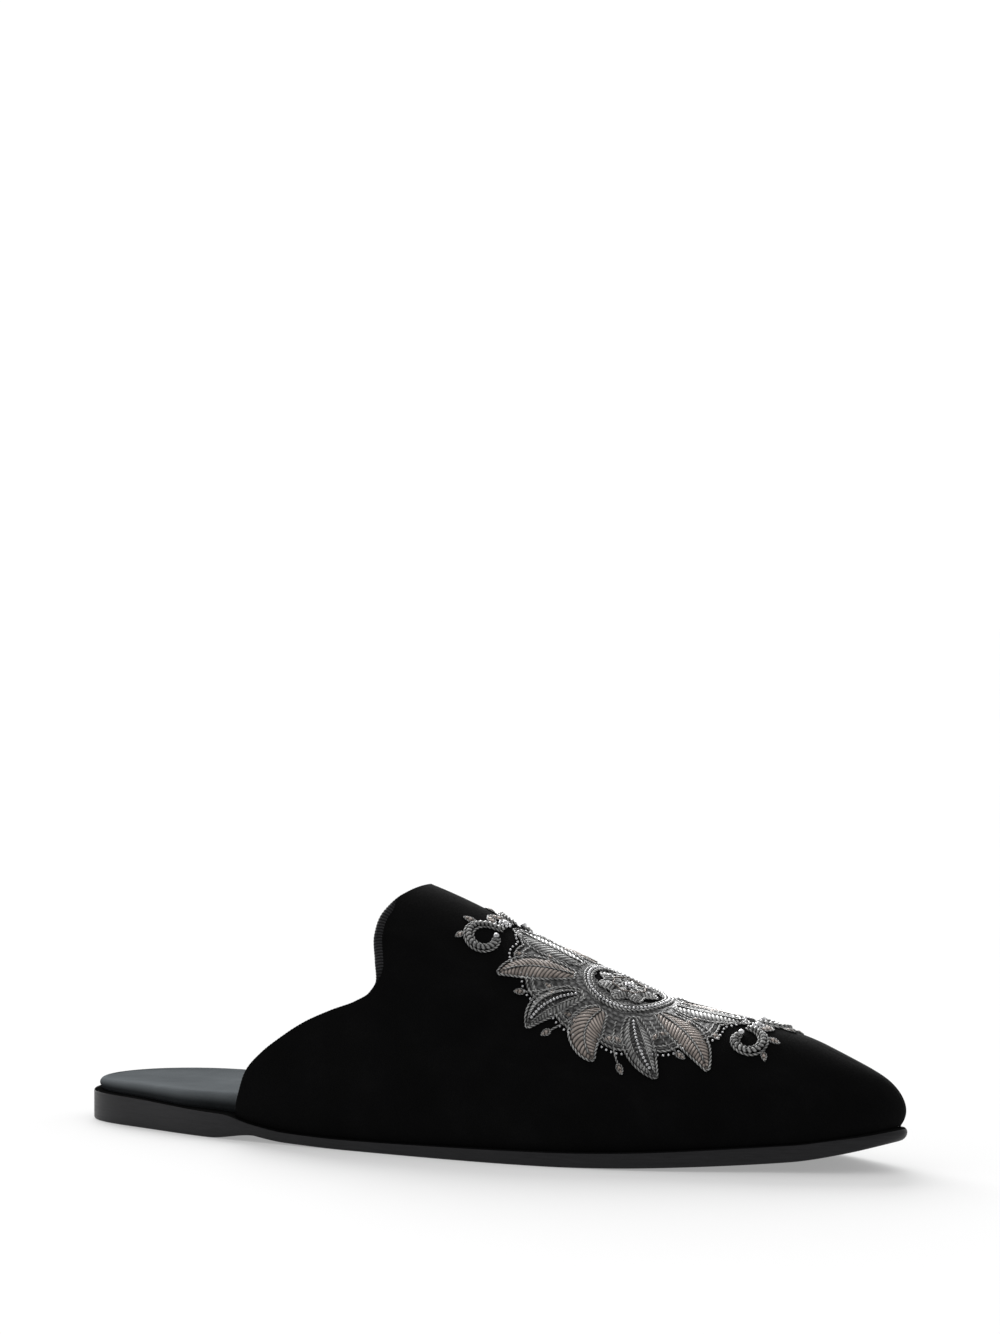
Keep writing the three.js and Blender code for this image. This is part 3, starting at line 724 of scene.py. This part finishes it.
def upper_wall(arounds, steps, shares, foot, start):
    """A layer of the upper between two shares of its wall, closed at its lower edges where it has a foot."""
    outer, inner = (upper_sheet(arounds, steps, -share * UPPER_WALL, foot, start) for share in shares)
    shell = Shell()
    shell.grid(outer)
    shell.grid(inner, flip=True)
    shell.grid(np.stack([outer[0], inner[0]]), flip=True)
    if foot:
        shell.grid(np.stack([outer[:, 0], inner[:, 0]]))
        shell.grid(np.stack([outer[:, -1], inner[:, -1]]), flip=True)
    return shell


def dressed_upper():
    """Velvet down to the sole, and the lining inside it."""
    arounds = spread_arounds(VELVET_GRID[0])
    velvet = upper_wall(arounds, VELVET_GRID[1], (0, VELVET_SHARE), CLEARANCE, velvet_turn(arounds))
    velvet.piece("velvet_upper", [VELVET], "velvet", ["upper"])
    arounds = spread_arounds(LINING_GRID[0])
    lining = upper_wall(arounds, LINING_GRID[1], (LINING_FROM, 1), 0, topline_turn(arounds))
    lining.piece("upper_lining", [LINING], "insole", ["upper"])


def topline_binding():
    """A grosgrain ribbon folded over the edge, with ribs across it."""
    around = np.linspace(BINDING_START, 2 - BINDING_START, 3000)
    distance = walked(topline_frame(around)[0])
    even = np.linspace(0, distance[-1], int(distance[-1] / RIB_PITCH * RIB_STEPS))
    around = np.interp(even, distance, around)
    middle, normal, away = topline_frame(around)
    width = ribbon_width(around)
    centre = middle + away * (BINDING_HEIGHT - width / 2)[:, None]
    angles = full_turn(RIBBON_SIDES)
    rib = np.abs(np.cos(math.pi * even / RIB_PITCH))[:, None]
    side = np.sign(np.cos(angles)) * np.abs(np.cos(angles)) ** 0.8
    top = np.sign(np.sin(angles)) * np.abs(np.sin(angles)) ** 0.9
    shown = ribbon_shown(around)[:, None]
    across = (UPPER_WALL / 2 + BINDING_OVERHANG * shown + RIB_DEPTH * (rib - 1) * (0.3 + 0.7 * shown)) * side
    along = (width[:, None] / 2 + RIB_DEPTH * (rib - 1) + VELVET_TUCK * (top < 0)) * top
    points = centre[:, None, :] + normal[:, None, :] * across[..., None] + away[:, None, :] * along[..., None]
    shell = Shell()
    # Painted shade between the ribs and along the thin roll where little ribbon shows; the ends are painted
    # black.
    tone = rib ** 1.5 * (0.06 + 0.94 * shown)
    shell.grid(points, loop_columns=True, tone=tone)
    for end, flip in ((points[0], False), (points[-1], True)):
        ladder = np.stack([end, np.broadcast_to(end.mean(axis=0), end.shape)])
        shell.grid(ladder, loop_columns=True, flip=flip, tone=0.0)
    shell.piece("grosgrain_binding", [RIBBON], "binding", ["topline_binding"])


def outline_edge(turns, inset):
    """The sole's outline as lateral and medial rows, moved inward by an inset."""
    nudge = 1e-3
    edges = []
    for side, reach in ((-1, lateral_reach), (1, medial_reach)):
        run = side * (along_at(turns + nudge) - along_at(turns - nudge)) * SHOE_LENGTH
        rise = reach(turns + nudge) - reach(turns - nudge)
        size = np.hypot(run, rise)
        x = along_at(turns) * SHOE_LENGTH + rise / size * inset
        y = side * reach(turns) - run / size * inset
        edges.append(np.stack([x, y], axis=-1))
    edges[0][0, 1] = edges[1][0, 1] = 0
    if turns[-1] == math.pi:
        edges[0][-1, 1] = edges[1][-1, 1] = 0
    return edges


def outline_sheet(turns, inset, across_steps):
    """Points across the sole from its lateral edge, and their shares of the way to the medial one."""
    lateral, medial = outline_edge(turns, inset)
    across = np.linspace(0, 1, across_steps)[:, None]
    return lateral[:, None, :] * (1 - across) + medial[:, None, :] * across, across[:, 0]


def raised(flat, z):
    return np.concatenate([flat, z[..., None]], axis=-1)


def layer(shell, levels, height, cover=None, across_steps=24, shade_tones=1.0, finishes=0):
    """A closed layer from levels of (share, inset). Its top may be shaped by cover(x, across)."""
    turns = np.linspace(0, math.pi, OUTLINE_STEPS)
    loops = []
    for share, inset in levels:
        lateral, medial = outline_edge(turns, inset(along_at(turns)))
        loop = np.concatenate([lateral, medial[-2:0:-1]])
        loops.append(raised(loop, height(loop[:, 0], share)))
    shade_tones = np.broadcast_to(shade_tones, (len(levels),))
    finishes = np.broadcast_to(finishes, (len(levels),))
    shell.grid(np.stack(loops), loop_columns=True, tone=shade_tones[:, None], finish=finishes[1:, None])
    for end, flip in ((0, True), (-1, False)):
        share, inset = levels[end]
        flat, across = outline_sheet(turns, inset(along_at(turns)), across_steps)
        z = height(flat[..., 0], share)
        if cover and not flip:
            z = z + cover(flat[..., 0], across)
        shell.grid(raised(flat, z), flip=flip, tone=shade_tones[end], finish=finishes[end])


def quarter_round():
    """Shares of the height and the inset over the lower quarter circle of a rounded edge."""
    angles = np.linspace(0, math.pi / 2, EDGE_ROUND_STEPS)
    return [(EDGE_ROUND_SHARE * (1 - math.cos(angle)), 1 - math.sin(angle)) for angle in angles]


def dressed_outsole():
    """The sole with a painted edge, which is rounded below and above and drawn in at the toe."""
    def inset(part, amount):
        return lambda along: part * amount(along)

    def upper(along):
        return SOLE_EDGE_ROUND + (TOE_EDGE_ROUND - SOLE_EDGE_ROUND) * fade(along, *TOE_EDGE)

    def lower(along):
        return upper(along) * fade(along, *UNDER_ROUND_START)

    def height(x, share):
        along = x / SHOE_LENGTH
        growth = 1 + TOE_EDGE_FALL * fade(along, *TOE_EDGE)
        share = share * growth if share < 0.5 else 1 - (1 - share) * growth
        return underside(along) + share * sole_thickness(along)

    levels = [(share, inset(part, lower)) for share, part in quarter_round()]
    levels += [(1 - share, inset(part, upper)) for share, part in reversed(quarter_round())]
    shell = Shell()
    # The top levels of the edge, on the ledge, take the painted shade finish.
    layer(shell, levels, height, finishes=[0] * (len(levels) - SHADED_LEDGE_LEVELS) + [1] * SHADED_LEDGE_LEVELS)
    shell.piece("painted_outsole", [EDGE, SHADED_LEDGE], "sole", ["outsole"])


def dressed_heel_lift():
    """The lift under the heel. Its breast runs out forward in a long thin wedge."""
    front = HEEL_LIFT_LENGTH + HEEL_BREAST_LENGTH
    turns = np.linspace(0, turn_at(front / SHOE_LENGTH), HEEL_GRID[0])
    sheets = []
    for share, part in quarter_round() + [(1, 0)]:
        flat, _ = outline_sheet(turns, part * SOLE_EDGE_ROUND, HEEL_GRID[1])
        foot = HEEL_BREAST_HEIGHT * fade(flat[..., 0], HEEL_LIFT_LENGTH, front)
        seat = underside(flat[..., 0] / SHOE_LENGTH) - HEEL_SEAM
        sheets.append(raised(flat, foot + share * (seat - foot)))
    loops = [np.concatenate([sheet[:, 0], sheet[-1, 1:-1], sheet[:0:-1, -1]]) for sheet in sheets]
    shell = Shell()
    shell.grid(np.stack(loops), loop_columns=True)
    shell.grid(sheets[0], flip=True)
    shell.grid(sheets[-1])
    shell.piece("painted_heel_lift", [EDGE], "sole", ["heel_lift"])


def dressed_insole():
    """Padded leather insole: a rolled edge over a shadow gap, a dished heel and soft walking marks."""
    narrowing = SOLE_LEDGE + UPPER_WALL + 2 * CLEARANCE - HEEL_SEAT_LEDGE

    def edge(extra):
        return lambda along: HEEL_SEAT_LEDGE + narrowing * fade(along, *INSOLE_NARROWING) + extra

    profile = list(INSOLE_FOOT)
    for angle in np.linspace(-0.6, math.pi / 2, 12):
        share = INSOLE_SHOULDER + (1 - INSOLE_SHOULDER) * math.sin(angle)
        profile.append((share, INSOLE_ROLL * (1 - math.cos(angle))))
    levels = [(share, edge(extra)) for share, extra in profile]

    def height(x, share):
        return sole_top(x) + INSOLE_LIFT + share * (insole_thickness(x / SHOE_LENGTH) + CLEARANCE)

    def cover(x, across):
        along = x / SHOE_LENGTH
        inner = fade(across, 0, 0.35) * fade(1 - across, 0, 0.35)
        rim = fade(across, 0, 0.10) * fade(1 - across, 0, 0.10) * fade(along, 0.0, 0.05)
        heel = np.exp(-((along - 0.10) / 0.07) ** 2)
        ball = np.exp(-((along - 0.66) / 0.10) ** 2)
        mark = 0.12 * np.sin(along * 150 + 3 * across) * np.exp(-((along - 0.2) / 0.05) ** 2)
        return -INSOLE_DISH * rim - inner * (0.5 * heel + 0.5 * ball) + inner * mark * 0.5

    shell = Shell()
    # Painted shade darkens the rolled edge toward its foot; the top is painted a little darker than the roll,
    # which leaves a painted highlight along the roll.
    shade_tones = [0.10 + 0.95 * fade(share, 0.28, 1.02) for share, _ in profile]
    layer(shell, levels, height, cover, 60, shade_tones[:-2] + [0.97, 0.86])
    piece = shell.piece("padded_insole", [INSOLE], "insole", ["insole"])


# Where around lies for each distance over the vamp from the ridge, as a table.
vamp_turns = turn_at(np.linspace(0.40, 0.97, 150))
vamp_arounds = np.linspace(0.02, 1.98, 500)
vamp_reach = np.linspace(-70, 70, 281)


def vamp_table():
    table = []
    for line in skin(vamp_turns[:, None], vamp_arounds[None, :]):
        distances = walked(line)
        middle = np.interp(1.0, vamp_arounds, distances)
        table.append(np.interp(vamp_reach, distances - middle, vamp_arounds))
    return np.array(table)


VAMP = vamp_table()


def between(marks, value):
    """Index of the mark before a value, and the share of the way to the next one."""
    place = np.interp(value, marks, np.arange(len(marks)))
    index = np.clip(place.astype(int), 0, len(marks) - 2)
    return index, place - index


def vamp_place(forward, across):
    """Turn and around for millimetres forward and across along the surface from the spray's centre."""
    turn = turn_at(SPRAY_CENTRE + forward / UPPER_LENGTH)
    r0, r = between(vamp_turns, turn)
    c0, c = between(vamp_reach, across - SPRAY_SHIFT)
    near = VAMP[r0, c0] * (1 - c) + VAMP[r0, c0 + 1] * c
    far = VAMP[r0 + 1, c0] * (1 - c) + VAMP[r0 + 1, c0 + 1] * c
    return turn, near * (1 - r) + far * r


def on_vamp(shell, plan, lift):
    """Points above the vamp for a plan of forward and across places, and the normals there."""
    turn, around = vamp_place(plan[..., 0], plan[..., 1] * shell.side)
    return on_skin(turn, around, lift), skin_normal(turn, around)


def beads(shell, plan, radius, lift):
    """Round beads, closed to a point at foot and top."""
    centres, normal = on_vamp(shell, plan, lift)
    side = unit(np.cross(normal, np.array([0.0, 0.0, 1.0]) + 0.01))
    frames = radius * np.stack([side, np.cross(normal, side), normal], axis=1)
    levels = np.linspace(-math.pi / 2, math.pi / 2, BEAD_GRID[0])
    level, turn = np.meshgrid(levels, full_turn(BEAD_GRID[1]), indexing="ij")
    ball = np.stack([np.cos(level) * np.cos(turn), np.cos(level) * np.sin(turn), np.sin(level)], axis=-1)
    for bead in centres[:, None, None, :] + np.einsum("rck,nkj->nrcj", ball, frames):
        shell.grid(bead, loop_columns=True, finish=BEAD)


def read_line(line, known, places):
    """Points of a line, known at some shares or distances, at other ones."""
    return np.column_stack([np.interp(places, known, line[:, k]) for k in (0, 1)])


def paced(plan, step, closed=False):
    """The same line with points at even steps."""
    line = np.concatenate([plan, plan[:1]]) if closed else plan
    distance = walked(line)
    count = max(int(round(distance[-1] / step)), 3)
    places = np.linspace(0, distance[-1], count, endpoint=not closed)
    return read_line(line, distance, places), places


def stitches(run):
    """Relief of threads laid side by side, from 0 between two to 1 on a thread."""
    return np.abs(np.cos(math.pi * run / STITCH_PITCH))


def leaf_outline(centre, beside, half):
    return np.concatenate([centre + beside * half[:, None], (centre - beside * half[:, None])[::-1]])


def cord(shell, plan, radius, lift, closed=False, pitch=CORD_PITCH, depth=CORD_DEPTH, finish=SILVER,
         sides=CORD_SIDES, strands=2):
    """A twisted cord laid along a line on the vamp."""
    plan, distance = paced(plan, pitch / CORD_STEPS, closed)
    centre, normal = on_vamp(shell, plan, lift)
    if closed:
        tangent = unit(np.roll(centre, -1, axis=0) - np.roll(centre, 1, axis=0))
        distance = distance * round(distance[-1] / pitch) * pitch / distance[-1]
    else:
        tangent = unit(np.gradient(centre, axis=0))
    side = unit(np.cross(normal, tangent))
    up = np.cross(tangent, side)
    angle = full_turn(sides)
    twist = strands * (angle[None, :] - 2 * math.pi * distance[:, None] / (pitch * strands))
    size = radius * (1 + depth * np.cos(twist))
    # Painted shade: dark in the valleys between the strands and on the cord's underside.
    tone = fade(np.cos(twist), -1.0, 0.7) * fade(np.sin(angle), -1.0, 0.6)
    if not closed:
        ends = np.minimum(distance, distance[-1] - distance) / (1.5 * radius)
        size = size * np.sqrt(np.clip(ends, 0.02, 1))[:, None]
    points = centre[:, None, :] + side[:, None, :] * (size * np.cos(angle))[..., None]
    points += up[:, None, :] * (size * np.sin(angle))[..., None]
    shell.grid(points, loop_rows=closed, loop_columns=True, finish=finish, tone=tone)


def leaf_line(row, count=160):
    """Centre line, heading, normal and half width of a leaf or tendril, in millimetres of the plan."""
    share = np.linspace(0, 1, count)
    lag = np.maximum(share - 0.5 / LEAF_STEPS, 0)
    step = row["length"] * SPRAY_LENGTH / (count - 1)
    heading = np.radians(row["heading"] + row["bend"] * lag ** BEND_POWER)
    start = RING_RADIUS + RING_WIDTH / 2 + row["gap"] * SPRAY_LENGTH
    bearing = math.radians(row["bearing"])
    x = start * math.cos(bearing) + np.append(0, np.cumsum(np.cos(heading[:-1]) * step))
    y = start * math.sin(bearing) + np.append(0, np.cumsum(np.sin(heading[:-1]) * step))
    swell = np.sin(math.pi * (SWELL[0] + (SWELL[1] - SWELL[0]) * share)) ** SWELL_POWER
    tendril = TENDRIL_SHARE + (1 - TENDRIL_SHARE) * share
    width = row["width"] * SPRAY_LENGTH * (swell * (1 - row["tip"]) + tendril * row["tip"])
    normal = np.column_stack([-np.sin(heading), np.cos(heading)])
    return share, np.column_stack([x, y]), heading, normal, width / 2


def satin_leaf(shell, row, finish, beaded):
    """A padded leaf: stitches fan out from the midrib inside a twisted cord, with a vein or a beaded core."""
    share, centre, _, normal, half = leaf_line(row)
    inner = np.maximum(half - 1.3 * CORD_RADIUS, 0.15)
    length = row["length"] * SPRAY_LENGTH
    fine = np.linspace(0.015, 0.985, int(length / STITCH_PITCH * 7))
    across = np.linspace(-1, 1, 33)
    line = read_line(centre, share, fine)
    fine_normal = read_line(normal, share, fine)
    fine_half = np.interp(fine, share, inner)
    run = across[None, :] * fine_half[:, None]
    plan = line[:, None, :] + fine_normal[:, None, :] * run[..., None]
    crown = (1 - np.abs(across) ** 2.6) ** 0.7
    reach = np.abs(run)
    stitch = stitches(fine[:, None] * length - STITCH_SLANT * reach)
    core = np.exp(-(reach / 0.4) ** 2)
    if beaded:
        core = 1 - fade(np.abs(across), CORE - 0.06, CORE + 0.04)[None, :]
    pad = SPRAY_RELIEF * np.clip(fine_half / fine_half.max(), 0.35, 1)[:, None] ** 0.5
    groove = STITCH_DEPTH * (stitch - 1) * (0.25 + 0.75 * crown) * (1 - 0.7 * core)
    lift = pad * crown * (1 - 0.45 * core) + groove
    # Painted shade: dark in the stitch valleys, toward the leaf's edges and along its core.
    tone = fade(stitch, *STITCH_TONES) * (0.35 + 0.65 * crown) * (1 - 0.85 * core)
    points, _ = on_vamp(shell, plan, lift)
    shell.grid(points, flip=shell.side > 0, finish=finish, tone=tone)
    cord(shell, leaf_outline(centre, normal, half), CORD_RADIUS, 0.3, closed=True)
    if beaded:
        for edge in (-1, 1):
            border = centre + normal * (edge * CORE * inner)[:, None]
            cord(shell, border[10:-14], 0.75 * CORD_RADIUS, 0.9, pitch=1.1)
        middle, _ = paced(centre[int(0.10 * len(centre)):int(0.86 * len(centre))], 2.3 * BEAD_RADIUS)
        beads(shell, middle, BEAD_RADIUS, 0.95)
    else:
        cord(shell, centre[4:int(0.9 * len(centre))], 0.8 * CORD_RADIUS, 0.85)


def coil_tendril(shell, row):
    """A tendril of coiled purl wire that rolls up into beads, with thin cords and leaflets beside it."""
    _, centre, heading, normal, half = leaf_line(row)
    cord(shell, centre, 0.62 * half.mean(), 0.55, pitch=1.5, depth=0.30, sides=12, strands=1)
    for edge in (-1, 1):
        cord(shell, centre + normal * (edge * half[:, None]), 1.1 * CORD_RADIUS, 0.3)
    beads(shell, centre[-1:], 2.0 * BEAD_RADIUS, 0.9)
    outward = -np.sign(row["bend"])
    for place in LEAFLETS:
        i = int(place * (len(centre) - 1))
        foot = centre[i] + normal[i] * outward * (half[i] + 0.3)
        petal(shell, foot, math.degrees(heading[i]) + outward * 50, LEAFLET_LENGTH * (1.2 - place))


def petal(shell, foot, heading, length):
    """A small pointed bud of satin stitches with a cord around it."""
    share = np.linspace(0, 1, 40)
    ahead = np.array([math.cos(math.radians(heading)), math.sin(math.radians(heading))])
    beside = np.array([-ahead[1], ahead[0]])
    half = 0.26 * length * np.sin(math.pi * share ** 0.8) ** 0.9
    centre = foot + share[:, None] * length * ahead
    across = np.linspace(-1, 1, 13)
    plan = centre[:, None, :] + (across[None, :] * half[:, None] * 0.85)[..., None] * beside
    stitch = stitches(share[:, None] * length - 0.8 * np.abs(across) * half[:, None])
    crown = (1 - across ** 2) ** 0.6 * np.sin(math.pi * share)[:, None] ** 0.4
    lift = 0.75 * SPRAY_RELIEF * crown + 0.6 * STITCH_DEPTH * (stitch - 1) * crown
    points, _ = on_vamp(shell, plan, lift)
    # Painted shade in the stitch valleys and toward the bud's edges.
    tone = fade(stitch, *STITCH_TONES) * (0.4 + 0.6 * crown)
    shell.grid(points, flip=shell.side > 0, finish=TAUPE, tone=tone)
    outline = leaf_outline(centre, beside, half)
    cord(shell, outline, 0.7 * CORD_RADIUS, 0.25, closed=True, pitch=1.0, sides=7)


def ring_plan(radius, count=400, wave=0.0, waves=0):
    angle = full_turn(count)
    size = radius * (1 + wave * np.cos(waves * angle))
    return np.column_stack([size * np.cos(angle), size * np.sin(angle)])


def rosette(shell):
    """Eight satin petals around a beaded heart."""
    count = 640
    angle = full_turn(count)
    share = np.linspace(0.22, 1, 30)
    lobe = 1 + PETAL_SHARE * np.cos(ROSETTE_PETALS * angle)
    radius = ROSETTE_RADIUS * share[None, :] * lobe[:, None]
    plan = np.stack([radius * np.cos(angle)[:, None], radius * np.sin(angle)[:, None]], axis=-1)
    petal_crown = np.abs(np.cos(ROSETTE_PETALS * angle / 2))[:, None] ** 0.6
    crown = (1 - (2 * np.abs(share - 0.58)) ** 2.5).clip(0, 1)[None, :] ** 0.6
    middle = np.abs((np.arange(count) / count * ROSETTE_PETALS + 0.5) % 1 - 0.5)[:, None]
    stitch = stitches(radius - 0.9 * middle * radius)
    lift = SPRAY_RELIEF * (0.2 + 0.8 * petal_crown) * crown + STITCH_DEPTH * (stitch - 1)
    # Painted shade in the stitch valleys, between the petals and toward their inner and outer edges.
    tone = fade(stitch, *STITCH_TONES) * (0.1 + 0.9 * petal_crown) * (0.35 + 0.65 * crown)
    points, _ = on_vamp(shell, plan, lift)
    shell.grid(points, loop_rows=True, finish=SILVER, tone=tone)
    outer = ring_plan(ROSETTE_RADIUS, count, PETAL_SHARE, ROSETTE_PETALS)
    inner = ring_plan(0.58 * ROSETTE_RADIUS, count, 0.5 * PETAL_SHARE, ROSETTE_PETALS)
    cord(shell, outer, CORD_RADIUS, 0.35, closed=True)
    cord(shell, inner, 0.6 * CORD_RADIUS, SPRAY_RELIEF, closed=True, pitch=1.0, finish=TAUPE)
    cord(shell, ring_plan(0.26 * ROSETTE_RADIUS), CORD_RADIUS, 0.6, closed=True)
    beads(shell, ring_plan(0.14 * ROSETTE_RADIUS, 6), BEAD_RADIUS, 0.8)
    beads(shell, np.zeros((1, 2)), 1.2 * BEAD_RADIUS, 1.1)
    beads(shell, ring_plan(0.78 * ROSETTE_RADIUS, ROSETTE_PETALS), 0.85 * BEAD_RADIUS, SPRAY_RELIEF + 0.05)


def ring(shell):
    """Two twisted cords with beads between them."""
    for offset in (-0.40, 0.40):
        cord(shell, ring_plan(RING_RADIUS + offset * RING_WIDTH), 1.15 * CORD_RADIUS, 0.35, closed=True)
    count = int(2 * math.pi * RING_RADIUS / (2.35 * BEAD_RADIUS))
    beads(shell, ring_plan(RING_RADIUS, count), 1.05 * BEAD_RADIUS, 0.5)


def ground_plan(share, count=900):
    """The scalloped edge of the ground under the leaves, drawn in to a share of its reach."""
    angle = full_turn(count)
    scallop = np.abs(np.cos(GROUND_SCALLOPS * angle / 2))
    radius = GROUND_REACH * np.asarray(share)[..., None] * (1 + 0.07 * (scallop - 0.5))
    return np.stack([GROUND_STRETCH * radius * np.cos(angle), radius * np.sin(angle)], axis=-1)


def ground(shell):
    """Dark silver ground of the spray: laid thread in fish-scale rows, with a corded and beaded border."""
    share = np.linspace(0.30, 1.0, 70)
    plan = np.swapaxes(ground_plan(share), 0, 1)
    angle = np.linspace(0, 1, len(plan), endpoint=False)[:, None]
    rows_out = share[None, :] * GROUND_REACH / SCALE_ROW
    stagger = 0.5 * (np.floor(rows_out) % 2)
    scale = np.abs(np.sin(math.pi * (angle * SCALES_ROUND + stagger)))
    arch = (rows_out + 0.35 * scale) % 1
    # The tone draws the rows of scales and paints shade where each row's relief is low.
    tone = fade(arch, 0.0, 0.8) * (0.3 + 0.7 * scale)
    edge = fade(1 - share, 0, 0.03)[None, :]
    points, _ = on_vamp(shell, plan, (0.18 + 0.14 * arch) * edge + 0.02)
    shell.grid(points, loop_rows=True, finish=GROUND, tone=tone)
    cord(shell, ground_plan(1.0), CORD_RADIUS, 0.28, closed=True)
    cord(shell, ground_plan(0.94), 0.8 * CORD_RADIUS, 0.36, closed=True)
    border, _ = paced(ground_plan(1.05), 3.2 * BEAD_RADIUS, closed=True)
    beads(shell, border, 0.8 * BEAD_RADIUS, 0.3)


def sprigs(shell):
    """Fine sprigs between the leaves, and a beaded flower past each bud."""
    for row in SPRIGS:
        _, centre, heading, _, _ = leaf_line({**row, "width": 0.02, "tip": 1})
        for side in (-1, 1):
            shell.side = side
            cord(shell, centre, 0.9 * CORD_RADIUS, 0.35)
            for place, turn in ((60, 55), (60, -55), (-1, 0)):
                petal(shell, centre[place], math.degrees(heading[place]) + turn, row["bud"])
    for end in (-1, 1):
        middle = np.array([[end * FLOWER_PLACE, 0.0]])
        beads(shell, middle, 1.9 * BEAD_RADIUS, 0.7)
        beads(shell, middle + ring_plan(3.2 * BEAD_RADIUS, 8), BEAD_RADIUS, 0.4)


def embroidery():
    """The stitched pieces. All but the ground and the sprigs replace a solid."""
    for name, stitch, replaced in (
        ("rosette", rosette, ["embroidery_rosette"]),
        ("ring", ring, ["embroidery_ring"]),
        ("ground", ground, []),
        ("sprig", sprigs, []),
    ):
        shell = Shell()
        stitch(shell)
        shell.piece(name + "_stitching", THREADS, "silver_thread", replaced)
    for row in SPRAY:
        slot = "leaf_thread" if row["look"] == "warm" else "silver_thread"
        thread = TAUPE if row["look"] == "warm" else SILVER
        sides = ((-1, "_lateral"), (1, "_medial")) if row["mirrored"] else ((1, ""),)
        for side, ending in sides:
            shell = Shell(side)
            if row["look"] == "coil":
                coil_tendril(shell, row)
            else:
                satin_leaf(shell, row, thread, row["look"] == "beaded")
            name = row["name"] + ending
            shell.piece(name + "_stitching", THREADS, slot, ["embroidery_" + name])


# Camera
VIEW_AZIMUTH = 30.0
VIEW_ELEVATION = 6.401
VIEW_YAW = -0.164
VIEW_PITCH = -4.469
VIEW_DISTANCE = 1.6
VIEW_TARGET = Vector((0, 0, 0.030))
PHOTO_HEIGHT = 1334
FOCAL_PIXELS = 4891
SENSOR = 36

# Light, from the side that the camera faces and from above
BRIGHT_SIDE = Vector((-0.5, 0.87, 0.36))
BRIGHT_SIDE_LIGHT = 1.05
DIM_SIDE_LIGHT = 0.25
LIGHT_TURN = (-0.9, 0.7)
SUN_SIDE = Vector((-0.70, 0.72, 0.44))
SUN_STRENGTH = 4.3
SUN_SOFTNESS = 0.75
FLOOR_GLOW = 0.32
FLOOR_HALF = 6.0


def direction(azimuth, elevation):
    level = math.cos(elevation)
    return Vector((level * math.sin(azimuth), -level * math.cos(azimuth), math.sin(elevation)))


def camera():
    azimuth = math.radians(VIEW_AZIMUTH)
    elevation = math.radians(VIEW_ELEVATION)
    back = direction(azimuth, elevation)
    azimuth += math.radians(VIEW_YAW)
    elevation += math.radians(VIEW_PITCH)
    look = -direction(azimuth, elevation)
    right = Vector((math.cos(azimuth), math.sin(azimuth), 0))
    up = right.cross(look)
    data = bpy.data.cameras.new("camera")
    data.sensor_fit = "VERTICAL"
    data.sensor_height = SENSOR
    data.lens = FOCAL_PIXELS * SENSOR / PHOTO_HEIGHT
    data.clip_end = 50
    item = in_scene("camera", data)
    axes = Matrix((right, up, -look)).transposed()
    item.matrix_world = Matrix.Translation(VIEW_TARGET + VIEW_DISTANCE * back) @ axes.to_4x4()
    bpy.context.scene.camera = item


def studio():
    """A pale floor that glows a little, a surround brighter behind the shoe, and a soft sun from there."""
    glow = {"Emission_Color": (1, 1, 1, 1), "Emission_Strength": FLOOR_GLOW}
    finish = Finish("paper", Roughness=0.9, Specular_IOR_Level=0.0, **glow)
    finish.set("Base Color", finish.ramp(finish.noise(3, 2), [(0.3, grey(0.51)), (0.7, grey(0.53))]))
    mesh = bpy.data.meshes.new("floor")
    corners = [(FLOOR_HALF * x, FLOOR_HALF * y, 0) for x, y in ((-1, -1), (1, -1), (1, 1), (-1, 1))]
    mesh.from_pydata(corners, [], [(0, 1, 2, 3)])
    mesh.materials.append(finish.material)
    floor = in_scene("floor", mesh)

    data = bpy.data.lights.new("sun", "SUN")
    data.energy = SUN_STRENGTH
    data.angle = SUN_SOFTNESS
    sun = in_scene("sun", data)
    sun.rotation_euler = (-SUN_SIDE).to_track_quat("-Z", "Y").to_euler()

    world = bpy.data.worlds.new("surround")
    sky = Nodes(world, "Background")
    sky.shader.inputs["Color"].default_value = (1, 1, 1, 1)
    place = sky.node("TexCoord").outputs["Generated"]
    toward = sky.node("VectorMath", {0: place}, {1: BRIGHT_SIDE.normalized()}, operation="DOT_PRODUCT")
    strength = sky.spread(toward.outputs["Value"], DIM_SIDE_LIGHT, BRIGHT_SIDE_LIGHT, *LIGHT_TURN)
    sky.set("Strength", strength)
    bpy.context.scene.world = world
    bpy.context.scene.view_settings.view_transform = "Standard"


dressed_upper()
topline_binding()
dressed_outsole()
dressed_heel_lift()
dressed_insole()
embroidery()
studio()
camera()
